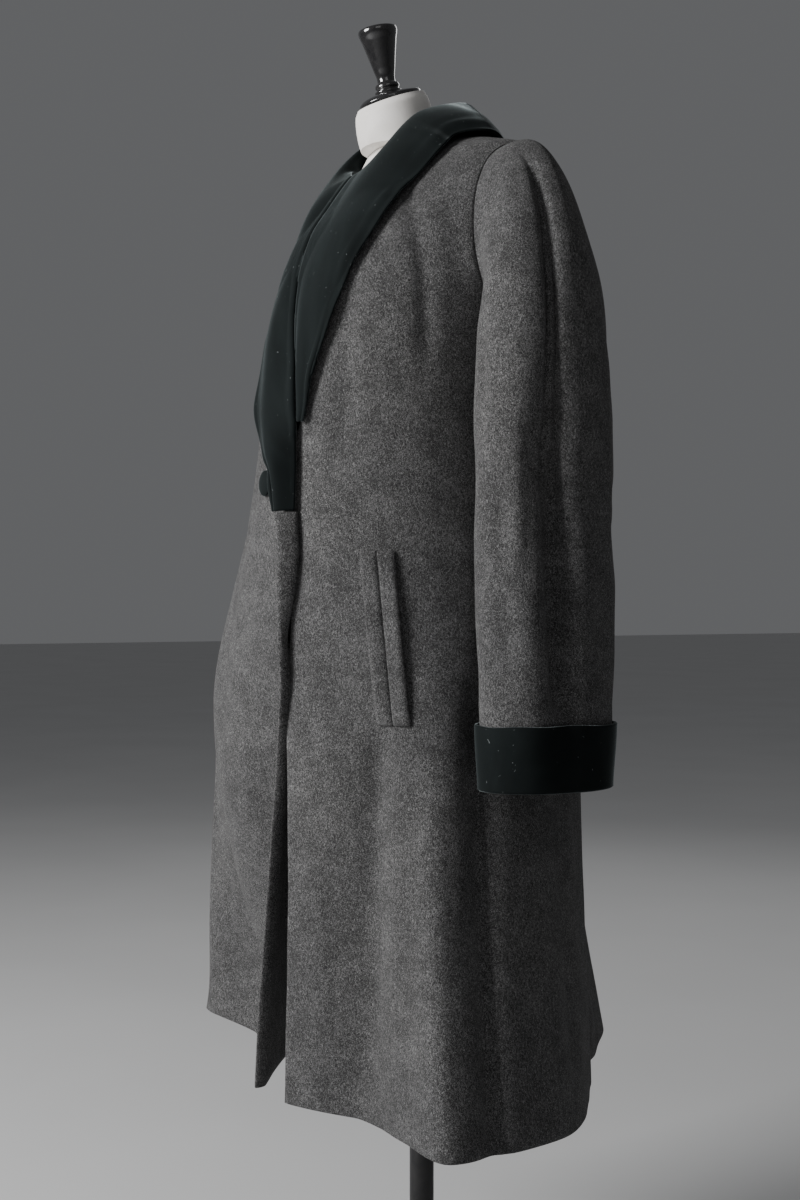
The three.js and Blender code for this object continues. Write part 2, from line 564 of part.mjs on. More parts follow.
// Points round a sleeve: turn 0 is its outer side, 90 its front, 180 its inner side.
const SLEEVE_TURNS = 2 * ARMHOLE_ROWS;
const HEAD_ROWS = 6;
const TUBE_ROWS = 9;
const RIGHT_SLEEVE_SWING = 12;

function sleeveTubePoint(turn, z, out = 0) {
  const row = (column) => valueAt([...SLEEVE].reverse(), 'z', column, z);
  const gap = ((turn - row('fold') + 540) % 360) - 180;
  const inset = row('depth') * bump(gap, 13) - 0.35 * row('depth') * bump(gap - 30, 14);
  const halfX = row('halfX') - inset + out;
  const halfY = row('halfY') - inset + out;
  return new THREE.Vector3(
    row('x') + halfX * Math.cos(radians(turn)),
    row('y') - halfY * Math.sin(radians(turn)),
    z,
  );
}

// The sleeve's head starts at the armhole, 0.3 mm from the panels, goes out and turns down into the tube.
const SLEEVE_INSIDE_ARMHOLE = 0.9;
const HEAD_OUTWARD = 0.95;
const HEAD_OUTWARD_LESS_AT_BACK = 0.38;
const HEAD_DOWN = 1.15;
function sleeveRow(t) {
  const turns = Array.from({ length: SLEEVE_TURNS }, (_, k) => (k * 360) / SLEEVE_TURNS);
  return turns.map((turn) => {
    const frontSide = turn < 180;
    const z = armholeMiddle + (armholeHalf - WOOL - 2 * SEAM) * Math.cos(radians(turn));
    const across = Math.abs(Math.sin(radians(turn))) * (ARMHOLE_WIDTH - SLEEVE_INSIDE_ARMHOLE);
    const angle = SIDE_SEAM_HIGH + (frontSide ? -across : across);
    const start = onBody(angle, z, 0);
    const end = sleeveTubePoint(turn, SLEEVE[0].z);
    const reach = start.distanceTo(end);
    const push = HEAD_OUTWARD - HEAD_OUTWARD_LESS_AT_BACK * Math.max(0, -Math.sin(radians(turn)));
    const outward = new THREE.Vector3(1, 0, 0.12 * Math.cos(radians(turn))).multiplyScalar(reach * push);
    const down = new THREE.Vector3(0, 0, -1).multiplyScalar(reach * HEAD_DOWN);
    return start
      .clone()
      .multiplyScalar((1 + 2 * t) * (1 - t) ** 2)
      .addScaledVector(outward, t * (1 - t) ** 2)
      .addScaledVector(end, t ** 2 * (3 - 2 * t))
      .addScaledVector(down, -(t ** 2) * (1 - t));
  });
}

// Rows run from the cuff up to the armhole, columns by turn in the order that keeps the faces looking out.
function sleeveGrid() {
  const lowest = SLEEVE.at(-1).z;
  const tube = Array.from({ length: TUBE_ROWS }, (_, k) => {
    const z = mix(lowest, SLEEVE[0].z, k / TUBE_ROWS);
    return Array.from({ length: SLEEVE_TURNS }, (_, j) => sleeveTubePoint((j * 360) / SLEEVE_TURNS, z));
  });
  const head = Array.from({ length: HEAD_ROWS + 1 }, (_, k) => sleeveRow(1 - k / HEAD_ROWS));
  return [...tube, ...head].map((row) => [...row].reverse());
}

// The right sleeve is the left one's mirror image, swung out a little over the fuller right side of the skirt.
const swungOut = (grid) =>
  grid.map((row) =>
    row.map((p) => new THREE.Vector3(p.x - RIGHT_SLEEVE_SWING * smooth((ARMHOLE_BOTTOM - p.z) / 400), p.y, p.z)),
  );

function sleeve(side) {
  const inner = side > 0 ? sleeveGrid() : swungOut(mirrored(sleeveGrid()));
  return wallGeometry(inner, movedOut(inner, gridNormals(inner, true), WOOL), true);
}

// The turned-back cuff stands a little off the sleeve.
function cuff(side) {
  const rows = [CUFF_BOTTOM, mix(CUFF_BOTTOM, CUFF_TOP, 0.5), CUFF_TOP];
  const grid = rows.map((z) =>
    Array.from({ length: SLEEVE_TURNS }, (_, j) =>
      sleeveTubePoint((j * 360) / SLEEVE_TURNS, z, WOOL + 0.5 + 1.6 * smooth((z - CUFF_BOTTOM) / 60)),
    ).reverse(),
  );
  const inner = side > 0 ? grid : swungOut(mirrored(grid));
  return wallGeometry(inner, movedOut(inner, gridNormals(inner, true), VELVET), true);
}

// The collar's cross-section at a station: up from the root, over the roll and down to the outer edge.
const COLLAR_STATIONS = 24;
const COLLAR_COLUMNS = 8;
const COLLAR_LIFT = WOOL + 3 * SEAM;
const COLLAR_CLEARANCE = 3.4;
const LAPEL_FULLNESS = { left: 0.1, right: 0.05 };

// The angle where a collar is sewn on: the given one at the back, then the neckline, then the meeting line.
function rootAngle(side, given, z) {
  if (z > NECKLINE.at(-1).z) return side * given;
  if (z > NECKLINE[0].z) return side * (valueAt(NECKLINE, 'z', 'angle', z) - COLLAR_BESIDE_NECKLINE);
  return valueAt(LINES, 'z', 'meet', z) + side * COLLAR_BESIDE_MEET;
}

// A collar's point moved off the coat until it clears it. Inside the neck opening there is no coat to clear.
function clearOfCoat(p, side, gap) {
  const angle = (Math.atan2(p.x, -p.y) * 180) / Math.PI;
  const neckline = valueAt(NECKLINE, 'z', 'angle', p.z);
  const meet = valueAt(LINES, 'z', 'meet', p.z);
  const isOverCoat = p.z > NECKLINE[0].z ? Math.abs(angle) > neckline + 1 : side * (angle - meet) > 1.6;
  if (!isOverCoat || p.z > NECKLINE.at(-1).z) return p;
  const raised = side < 0 ? Math.max(0, overlapOut(angle, p.z)) : 0;
  const normal = bodyNormal(angle, p.z);
  for (let step = 0; step < 60; step += 1) {
    const probe = p.clone().addScaledVector(normal, -gap - raised);
    const probeAngle = (Math.atan2(probe.x, -probe.y) * 180) / Math.PI;
    if (Math.hypot(probe.x, probe.y) >= bodyRadius(probeAngle, probe.z)) break;
    p.addScaledVector(normal, 0.4);
  }
  return p;
}

function collarGrid(table, side) {
  const rows = table.map((row, k) => ({ ...row, k }));
  const raised = (angle, z) => (side < 0 ? overlapOut(angle, z) : 0);
  const station = (part) => {
    const at = (column) => valueAt(rows, 'k', column, part * (rows.length - 1));
    const rootAt = rootAngle(side, at('root'), at('rootZ'));
    const rootOut = mix(COLLAR_LIFT, 2 * SEAM, smooth((at('rootZ') - NECKLINE[0].z - 10) / 18));
    const root = onBody(rootAt, at('rootZ'), rootOut + raised(rootAt, at('rootZ')));
    const roll = new THREE.Vector3(side * at('rollX'), at('rollY'), at('rollZ'));
    const edgeAt = side * at('edge');
    const edge = onBody(edgeAt, at('edgeZ'), COLLAR_LIFT + at('lift') + raised(edgeAt, at('edgeZ')));
    const outward = bodyNormal(mix(edgeAt, rootAt, 0.3), mix(at('edgeZ'), at('rootZ'), 0.3));
    const fullness = side > 0 ? LAPEL_FULLNESS.left : LAPEL_FULLNESS.right;
    const middle = roll.clone().lerp(edge, 0.55).addScaledVector(outward, fullness * roll.distanceTo(edge));
    const curve = new THREE.CatmullRomCurve3([root, roll, middle, edge], false, 'centripetal');
    return Array.from({ length: COLLAR_COLUMNS }, (_, j) => {
      const p = curve.getPoint(j / (COLLAR_COLUMNS - 1));
      return j === 0 ? p : clearOfCoat(p, side, WOOL + COLLAR_CLEARANCE);
    });
  };
  return Array.from({ length: COLLAR_STATIONS }, (_, k) => station(k / (COLLAR_STATIONS - 1)));
}

// The two halves meet at the centre back, where their last points are set just beside the middle.
function collar(side) {
  const grid = collarGrid(side > 0 ? COLLAR_LEFT : COLLAR_RIGHT, side).reverse();
  const inner = side > 0 ? grid : grid.map((row) => [...row].reverse());
  const outer = movedOut(inner, gridNormals(inner), VELVET);
  for (const p of [...inner.at(-1), ...outer.at(-1)]) p.x = (side * SEAM) / 2;
  return wallGeometry(inner, outer);
}

// One strip of a pocket's welt, made from the front's own points, moved out.
const WELT_ROWS = 6;
const WELT_GAP = 0.9;
function weltStrip(side, isFrontStrip) {
  const rows = Array.from({ length: WELT_ROWS }, (_, k) => mix(POCKET.bottomZ, POCKET.topZ, k / (WELT_ROWS - 1)));
  const further = side < 0 ? POCKET.rightFurther : 0;
  const line = (z) =>
    further + mix(POCKET.bottomAngle, POCKET.topAngle, (z - POCKET.bottomZ) / (POCKET.topZ - POCKET.bottomZ));
  const steps = [0, 1 / 3, 2 / 3, 1];
  const layer = (out) =>
    rows.map((z) => {
      const wide = (POCKET.stripWidth / bodyRadius(side * line(z), z)) * (180 / Math.PI);
      const [from, to] = isFrontStrip ? [-wide, -0.1] : [0.1, wide];
      return steps.map((t) => onBody(side * (line(z) + mix(from, to, side > 0 ? t : 1 - t)), z, out));
    });
  return wallGeometry(layer(WOOL + WELT_GAP), layer(2 * WOOL + WELT_GAP));
}

function button() {
  const { angle, z, radius, height } = BUTTON;
  const profile = [[0, 0], [radius * 0.8, 0], [radius, height * 0.35], [radius * 0.93, height * 0.7],
    [radius * 0.7, height * 0.93], [0, height]];
  const geometry = new THREE.LatheGeometry(profile.map(([r, h]) => new THREE.Vector2(r, h)), 20);
  const up = new THREE.Vector3(0, 1, 0);
  geometry.applyQuaternion(new THREE.Quaternion().setFromUnitVectors(up, bodyNormal(angle, z)));
  const seat = onBody(angle, z, WOOL + 2 * SEAM + overlapOut(angle, z));
  geometry.translate(seat.x, seat.y, seat.z);
  return geometry;
}

// The torso of the form. Where the coat hangs on it, at the shoulders, it lies just inside the cloth.
const FORM_COLUMNS = 32;
const FORM_INSET = 2.9;
const FORM_INSET_AT_NECK = 4.5;
function torso() {
  const low = Array.from({ length: 12 }, (_, k) => mix(TORSO_BOTTOM, 1340, k / 11));
  const heights = [...low, 1364, 1378, ARMHOLE_TOP, ...SHOULDER_ROWS.slice(0, 4), TORSO_TOP];
  const radius = (angle, z) => {
    const own = sectionRadius(FORM, angle, z, 2.1);
    const inside = onBody(angle, z, -FORM_INSET - FORM_INSET_AT_NECK * smooth((z - 1396) / 14));
    return Math.min(own, Math.hypot(inside.x, inside.y) - 2 * smooth((1380 - z) / 60));
  };
  return loftGeometry(
    heights.map((z) =>
      Array.from({ length: FORM_COLUMNS }, (_, j) => {
        const angle = (j * 360) / FORM_COLUMNS - 180;
        const r = radius(angle, z);
        return new THREE.Vector3(r * Math.sin(radians(angle)), -r * Math.cos(radians(angle)), z);
      }),
    ),
  );
}

const tiltedPoint = (angle, radius, row) =>
  new THREE.Vector3(
    radius * Math.sin(radians(angle)),
    row.y - radius * Math.cos(radians(angle)) * Math.cos(radians(row.tilt)),
    row.z - radius * Math.cos(radians(angle)) * Math.sin(radians(row.tilt)),
  );

// The neck and its cap: round sections that lean forwards.
const NECK_COLUMNS = 28;
const leaningLoft = (rows) =>
  loftGeometry(
    rows.map((row) =>
      Array.from({ length: NECK_COLUMNS }, (_, j) => tiltedPoint((j * 360) / NECK_COLUMNS, row.radius, row)),
    ),
  );

// The knob stands on the cap's top, which leans less than its underside.
function neckKnob() {
  const rings = KNOB_PROFILE.map(({ r, h }) => [r, h]);
  const profile = [[0, 0], ...rings, [0, KNOB_PROFILE.at(-1).h + 1]];
  const geometry = new THREE.LatheGeometry(profile.map(([r, h]) => new THREE.Vector2(r, h)), 20);
  const top = NECK_CAP.at(-1);
  geometry.rotateX(Math.PI / 2 + radians(top.tilt));
  const axis = new THREE.Vector3(0, -Math.sin(radians(top.tilt)), Math.cos(radians(top.tilt)));
  const seat = new THREE.Vector3(0, top.y, top.z).addScaledVector(axis, SEAM);
  geometry.translate(seat.x, seat.y, seat.z);
  return geometry;
}

function pole() {
  const from = FOOT_HEIGHT + SEAM;
  const to = TORSO_BOTTOM - SEAM;
  const geometry = new THREE.CylinderGeometry(POLE_RADIUS, POLE_RADIUS, to - from, 32);
  geometry.rotateX(Math.PI / 2);
  geometry.translate(0, 0, (from + to) / 2);
  return geometry;
}

function foot() {
  const profile = [[0, 0], [FOOT_RADIUS, 0], [FOOT_RADIUS, 6], [FOOT_RADIUS - 5, 10], [60, 15], [32, 19],
    [28, FOOT_HEIGHT], [0, FOOT_HEIGHT]];
  const geometry = new THREE.LatheGeometry(profile.map(([r, h]) => new THREE.Vector2(r, h)), 36);
  geometry.rotateX(Math.PI / 2);
  return geometry;
}

const wool = () => new THREE.MeshStandardMaterial({ color: 0x555252, roughness: 0.95, metalness: 0 });
const velvet = () => new THREE.MeshStandardMaterial({ color: 0x141b1b, roughness: 0.9, metalness: 0 });
const formCover = () => new THREE.MeshStandardMaterial({ color: 0xebe8e4, roughness: 0.8, metalness: 0 });
const lacquer = () => new THREE.MeshStandardMaterial({ color: 0x0c0c0d, roughness: 0.2, metalness: 0 });
const blackMetal = () => new THREE.MeshStandardMaterial({ color: 0x111112, roughness: 0.4, metalness: 0.6 });

const group = new THREE.Group();
function piece(name, geometry, material) {
  const mesh = new THREE.Mesh(geometry, material);
  mesh.name = name;
  group.add(mesh);
}

piece('front_left', frontLeft(), wool());
piece('front_right', frontRight(), wool());
piece('facing_right', facingRight(), wool());
piece('button', button(), velvet());
for (const [label, side] of [['left', 1], ['right', -1]]) {
  piece(`back_${label}`, back(side), wool());
  piece(`sleeve_${label}`, sleeve(side), wool());
  piece(`cuff_${label}`, cuff(side), velvet());
  piece(`collar_${label}`, collar(side), velvet());
  piece(`welt_front_${label}`, weltStrip(side, true), wool());
  piece(`welt_back_${label}`, weltStrip(side, false), wool());
}
piece('form_torso', torso(), formCover());
piece('form_neck', leaningLoft(NECK), formCover());
piece('neck_cap', leaningLoft(NECK_CAP), lacquer());
piece('neck_knob', neckKnob(), lacquer());
piece('pole', pole(), blackMetal());
piece('foot', foot(), blackMetal());

export default group;
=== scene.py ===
"""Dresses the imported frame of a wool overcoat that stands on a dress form.

Each piece of cloth is made again as a fine thin shell on the form of its solid, with the creases that the real
cloth has, and the form, its neck and its stand are made again with smooth outlines. Shapes are worked out in
millimetres and put into meshes in metres. Angles around the coat are in degrees from the front, positive towards
the wearer's left. Around a sleeve, 0 is its outer side and 90 its front.
"""

import logging
import math
from dataclasses import dataclass, field
from enum import Enum

import bpy
import numpy as np
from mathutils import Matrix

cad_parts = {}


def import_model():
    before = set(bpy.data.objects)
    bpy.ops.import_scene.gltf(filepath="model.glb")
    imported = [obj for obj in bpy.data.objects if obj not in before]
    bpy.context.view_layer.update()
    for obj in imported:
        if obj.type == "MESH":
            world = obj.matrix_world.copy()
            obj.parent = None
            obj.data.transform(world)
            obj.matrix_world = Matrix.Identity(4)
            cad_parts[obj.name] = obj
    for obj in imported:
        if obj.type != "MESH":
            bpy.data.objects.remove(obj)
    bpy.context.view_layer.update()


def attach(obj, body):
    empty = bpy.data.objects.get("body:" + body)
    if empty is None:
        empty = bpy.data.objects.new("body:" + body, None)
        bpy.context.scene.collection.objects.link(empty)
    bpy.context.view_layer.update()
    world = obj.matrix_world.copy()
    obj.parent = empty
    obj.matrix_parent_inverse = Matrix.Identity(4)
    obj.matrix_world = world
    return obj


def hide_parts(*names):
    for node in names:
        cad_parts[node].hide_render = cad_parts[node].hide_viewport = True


Array = np.ndarray
log = logging.getLogger("overcoat")

MM = 0.001

# Thicknesses and gaps of the cloth
WOOL = 2.2
VELVET = 2.6
FACING = 1.4
SEAM = 0.3

# Heights and edges of the cut
HEM = 320.0
MIDDLE = 760.0
WAIST = 1100.0
ARMHOLE_LOW = 1200.0
ARMHOLE_HIGH = 1388.0
ARMHOLE_WIDTH = 15.5
NECK_PIT = 1384.0
NECK_TOP = 1441.0
FLAP_TOP = 988.0
LAPEL_END = 1085.0
SIDE_LOW = 77.5
SIDE_HIGH = 90.0


class Side(Enum):
    """The wearer's left or right side. The value is the sign of x there."""

    LEFT = 1
    RIGHT = -1

    @property
    def label(self) -> str:
        """The side's name as used in the names of pieces."""
        return self.name.lower()


class Run(Enum):
    """Which way a crease runs on its cloth."""

    UP = "up"
    ROUND = "round"


def monotone(knots: Array, values: Array, at: Array) -> Array:
    """A curve through knots that never overshoots them.

    Between two knots it is the cubic with the rows' values and slopes at its ends, where a slope is the harmonic
    mean of the two neighbouring rises, or 0 where they differ in sign.

    Args:
        knots: the places of the K values, ascending.
        values: K values, or an array whose last axis holds K values for each point of at.
        at: where the curve is read.

    Returns:
        The curve's values, in the shape of at.
    """
    knots = np.asarray(knots, float)
    values = np.asarray(values, float)
    at = np.clip(np.asarray(at, float), knots[0], knots[-1])
    step = np.diff(knots)
    rise = np.diff(values, axis=-1) / step
    before, after = rise[..., :-1], rise[..., 1:]
    same = before * after > 0
    inner = np.where(same, 2 * before * after / np.where(same, before + after, 1.0), 0.0)
    slope = np.concatenate([rise[..., :1], inner, rise[..., -1:]], axis=-1)
    k = np.clip(np.searchsorted(knots, at, side="left") - 1, 0, len(knots) - 2)
    if values.ndim == 1:
        v0, v1, s0, s1 = values[k], values[k + 1], slope[k], slope[k + 1]
    else:
        shape = at.shape + (len(knots),)
        spread, slopes = np.broadcast_to(values, shape), np.broadcast_to(slope, shape)
        v0, v1, s0, s1 = (
            np.take_along_axis(array, index[..., None], -1)[..., 0]
            for array, index in ((spread, k), (spread, k + 1), (slopes, k), (slopes, k + 1))
        )
    h = step[k]
    t = (at - knots[k]) / h
    return (
        v0 * (1 + 2 * t) * (1 - t) ** 2
        + v1 * t**2 * (3 - 2 * t)
        + h * s0 * t * (1 - t) ** 2
        - h * s1 * t**2 * (1 - t)
    )


def smooth(t: Array | float) -> Array:
    """0 below 0, 1 above 1, and 3t squared minus 2t cubed between."""
    t = np.clip(t, 0.0, 1.0)
    return t * t * (3 - 2 * t)


def mix(a: Array | float, b: Array | float, t: Array | float) -> Array:
    """The value the part t of the way from a to b."""
    return a + (b - a) * t


def bump(distance: Array, width: float) -> Array:
    """A bell of height 1: e to the minus square of distance over width."""
    return np.exp(-((distance / width) ** 2))


def unit(vectors: Array) -> Array:
    """Each vector divided by its length."""
    return vectors / np.maximum(np.linalg.norm(vectors, axis=-1, keepdims=True), 1e-9)


@dataclass(frozen=True)
class Table:
    """Rows of numbers with named columns, which are read along the first column.

    Args:
        names: the columns' names, with spaces between them.
        rows: the rows, in any order.
    """

    names: str
    rows: tuple[tuple[float, ...], ...]

    def column(self, name: str) -> Array:
        """That column's values, in the order of the first column."""
        values = np.array(self.rows, float)
        return values[np.argsort(values[:, 0]), self.names.split().index(name)]

    def at(self, name: str, x: Array | float) -> Array:
        """That column's value at x along the first column, as a monotone curve."""
        return monotone(self.column(self.names.split()[0]), self.column(name), x)


SECTIONS = Table(
    "z half front back power right",
    (
        (1100, 174, 188, 150, 2.2, 2.1), (1200, 188, 180, 150, 2.25, 1.7), (1250, 200, 171, 148, 2.25, 1.5),
        (1300, 206, 152, 142, 2.2, 1.32), (1340, 207, 124, 130, 2.0, 1.3), (1370, 206, 101, 114, 1.8, 1.32),
        (1388, 203, 85, 99, 1.6, 1.45), (1396, 183, 78, 92, 1.55, 1.55), (1405, 154, 72, 86, 1.55, 1.55),
        (1415, 124, 68, 80, 1.65, 1.65), (1428, 97, 64, 73, 1.8, 1.8), (1445, 76, 61, 62, 2.0, 2.0),
    ),
)

SKIRT = Table(
    "angle middle hem lift",
    (
        (0, 196, 193, 4), (20, 188, 177, 2), (33, 185, 168, 0), (45, 190, 190, 0), (55, 198, 236, 0),
        (65, 205, 303, 0), (74, 204, 288, 0), (84, 199, 276, 0), (95, 197, 264, 0), (107, 195, 240, 0),
        (120, 190, 216, 2), (135, 186, 202, 4), (150, 184, 199, 4), (162, 184, 208, 2), (172, 187, 236, 0),
        (181, 194, 268, 0), (190, 207, 322, 4), (200, 220, 362, 8), (210, 224, 350, 8), (222, 214, 300, 8),
        (236, 203, 256, 10), (250, 199, 258, 12), (265, 203, 282, 18), (280, 216, 322, 25),
        (292, 256, 354, 28), (302, 289, 315, 40), (307, 282, 225, 28), (310, 275, 190, 1),
        (312, 270, 174, 0), (320, 252, 170, 0), (332, 226, 176, 0), (346, 204, 190, 2),
    ),
)

LINES = Table(
    "z meet left",
    (
        (320, -35, 5.7), (560, -20, 8), (800, 3, 8), (860, 9, 10), (900, 12, 8), (950, 14, 1),
        (1000, 14.5, -5), (1050, 15, 3), (1084, 15, 13.5), (1110, 14, 15.6), (1140, 12, 13.6),
        (1200, 9, 10.6), (1250, 7, 8.6), (1300, 5, 6.6), (1350, 3, 4.6), (1384, 2, 3.8),
    ),
)

NECKLINE = Table("z angle", ((1384, 6), (1392, 22), (1400, 36), (1410, 52), (1420, 66), (1432, 78), (1441, 84)))

FLAP = Table(
    "z root dip x y roll",
    (
        (320, -50, 6, -58, -193, 4), (450, -32, 33, -28, -200, 5), (600, -15, 40, -6, -199, 7),
        (700, -4, 32, 12, -200, 8), (800, 3, 14, 28, -204, 9), (860, 8.4, 0, 32, -205, 9),
        (950, 13.6, 0, 34, -206, 9), (988, 13, 0, 26, -207, 9),
    ),
)

COLLAR_COLUMNS = "station root root_z roll_x roll_y roll_z edge edge_z lift"
COLLARS = {
    Side.LEFT: Table(
        COLLAR_COLUMNS,
        (
            (0, 180, 1442.5, 0, 55, 1482, 180, 1416, 2), (1, 135, 1442.5, 42, 41, 1477, 142, 1412, 2),
            (2, 92, 1445, 68, 2, 1466, 101, 1408, 2), (3, 68, 1422, 66, -40, 1451, 77, 1401, 2),
            (4, 34, 1399, 63, -83, 1409, 68, 1380, 2), (5, 7.5, 1364, 62, -127, 1347, 54, 1335, 2),
            (6, 7.2, 1300, 58, -163, 1286, 42, 1280, 2), (7, 9.4, 1250, 56, -180, 1240, 34, 1236, 2),
            (8, 11.4, 1200, 55, -188, 1194, 28, 1190, 2), (9, 14.4, 1140, 55, -192, 1137, 21.5, 1135, 2),
            (10, 16.4, 1092, 56, -192, 1090, 17.7, 1090, 2),
        ),
    ),
    Side.RIGHT: Table(
        COLLAR_COLUMNS,
        (
            (0, 180, 1442.5, 0, 55, 1482, 180, 1416, 2), (1, 135, 1442.5, 42, 41, 1477, 142, 1412, 2),
            (2, 92, 1445, 68, 2, 1464, 101, 1408, 2), (3, 68, 1422, 63, -45, 1440, 77, 1401, 2),
            (4, 34, 1399, 50, -88, 1398, 68, 1380, 2), (5, 7.5, 1364, 27, -134, 1345, 52, 1330, 2),
            (6, 2.8, 1300, 12, -163, 1286, 40, 1272, 2), (7, 4.8, 1250, 5, -183, 1240, 32, 1230, 2),
            (8, 6.8, 1200, 2, -196, 1190, 25, 1180, 2), (9, 11.2, 1120, -6, -206, 1114, 12, 1108, 3),
            (10, 13.4, 1060, -27, -215, 1056, -1, 1052, 8), (11, 13.4, 1035, -33, -213, 1033, -5.6, 1032, 10),
            (12, 13.4, 992, -35, -209, 991, -7.2, 990, 9),
        ),
    ),
}

SLEEVE = Table(
    "z x y half_x half_y fold depth",
    (
        (1165, 253, -2, 58, 70, 20, 5), (1080, 251, 3, 57, 79, 18, 10), (1000, 250, 4, 56, 79, 17, 13),
        (900, 254, 1, 54, 80, 10, 14), (800, 264, -4, 50, 76, 8, 8), (698, 270, -9, 48, 73, 6, 2),
    ),
)

FORM = Table(
    "z half front back",
    (
        (770, 150, 108, 118), (860, 168, 118, 132), (960, 158, 112, 118), (1060, 120, 98, 92),
        (1150, 136, 112, 100), (1240, 160, 132, 116), (1320, 190, 118, 122), (1360, 205, 112, 120),
        (1390, 210, 110, 112), (1425, 120, 90, 80),
    ),
)

NECK = Table(
    "z y radius tilt",
    (
        (1425.3, -25, 51, 0), (1440, -31, 49, 7), (1458, -37, 47, 14), (1474, -41, 45, 19),
        (1482, -42.8, 41, 20),
    ),
)

CAP = Table("z y radius tilt", ((1482.3, -42.9, 37.5, 20), (1485.3, -44, 37.5, 20), (1487.6, -44.9, 34, 18),
                                (1490.1, -45.5, 19, 12)))

KNOB = Table(
    "height radius",
    (
        (0, 15.5), (3, 16), (5.5, 13), (8.5, 14.5), (11, 14), (14, 10.8), (17, 10.6), (30, 13.2), (46, 16.8),
        (61, 20.3), (73, 23.2), (75.6, 22.6), (77, 20),
    ),
)


@dataclass(frozen=True)
class Crease:
    """A soft trough or ridge in the cloth.

    It follows a line given by a few points and fades out at both ends. Across the line it is a bell of its width.

    Args:
        places: where the line is, one for each of the heights.
        heights: the heights of the line's points, ascending. For a crease that runs round the cloth, the
            heights are where the line is and the places ascend.
        width: half width in millimetres.
        depth: depth in millimetres, negative for a ridge.
        run: which way the line runs.
    """

    places: tuple[float, ...]
    heights: tuple[float, ...]
    width: float
    depth: float
    run: Run = Run.UP

    def inset(self, place: Array, height: Array, mm_per_place: Array | float) -> Array:
        """How far the crease goes in at each point.

        Args:
            place: the points' angles in degrees.
            height: the points' heights.
            mm_per_place: millimetres per degree there.

        Returns:
            Depths in millimetres.
        """
        if self.run is Run.UP:
            along = (height - self.heights[0]) / (self.heights[-1] - self.heights[0])
            across = (place - monotone(self.heights, self.places, height)) * mm_per_place
        else:
            along = (place - self.places[0]) / (self.places[-1] - self.places[0])
            across = height - monotone(self.places, self.heights, place)
        fade = smooth(along / 0.22) * smooth((1 - along) / 0.22)
        return self.depth * fade * bump(across, self.width)


def inset_of(creases: tuple[Crease, ...], place: Array, height: Array, mm_per_place: Array | float) -> Array:
    """The sum of the creases' depths at each point."""
    return sum((crease.inset(place, height, mm_per_place) for crease in creases), np.zeros(np.shape(place)))


BODY_CREASES = (
    # the left front, from the pocket down to the hem
    Crease((42, 43, 43, 44, 47), (290, 450, 590, 700, 800), 21, 11.0),
    Crease((31, 33, 35), (1000, 1120, 1260), 17, 4.5),
    Crease((74, 74.5, 75, 76), (270, 460, 640, 840), 14, 14.0),
    Crease((62, 61, 60), (300, 470, 700), 17, -5.0),
    Crease((61, 60, 57, 52), (1130, 1230, 1310, 1372), 11, 5.0),
    # the front armhole's seam stands up a little
    Crease((80, 75.5, 74.5, 75.7, 81), (1206, 1260, 1294, 1330, 1380), 14, -5.5),
    Crease((78, 80, 82), (520, 700, 900), 12, 3.0),
    Crease((22, 20, 19), (360, 520, 690), 18, -1.8),
    # under the armholes
    Crease((84, 88, 93), (1080, 1130, 1180), 10, 1.8),
    Crease((-84, -88, -93), (1060, 1120, 1180), 11, 2.0),
    # the back, left to right
    Crease((103, 106, 108), (340, 560, 760), 19, 5.0),
    Crease((120, 123, 121), (480, 700, 980), 16, 2.4),
    Crease((133, 137, 141, 143), (330, 520, 700, 860), 21, 5.5),
    Crease((151, 150, 148), (620, 780, 1010), 18, -2.2),
    Crease((166, 163, 160), (330, 520, 720), 17, 4.2),
    Crease((112, 122, 137), (1248, 1262, 1268), 13, 2.0, Run.ROUND),
    Crease((118, 130, 146), (1150, 1132, 1124), 15, 1.8, Run.ROUND),
    Crease((-152, -148, -147), (340, 560, 800), 22, 5.0),
    Crease((-132, -128, -126), (330, 560, 760), 20, 5.2),
    Crease((-117, -120, -122), (520, 720, 960), 16, 2.3),
    Crease((-141, -126, -113), (1262, 1266, 1250), 14, 2.1, Run.ROUND),
    Crease((-150, -133, -118), (1118, 1128, 1146), 16, 1.6, Run.ROUND),
    # the right side and the right front
    Crease((-104, -101, -99), (340, 560, 820), 18, 4.6),
    Crease((-88, -86, -84), (400, 600, 780), 15, 3.0),
    Crease((-36, -34, -33), (700, 860, 1010), 17, 2.6),
    Crease((-60, -58, -57), (820, 960, 1120), 16, 2.2),
    Crease((-61, -60, -57, -52), (1160, 1230, 1300, 1362), 12, 2.4),
    Crease((-30, -33, -35), (1060, 1130, 1240), 15, 2.0),
    Crease((-42, -40, -38), (985, 1050, 1125), 22, 7.0),
)

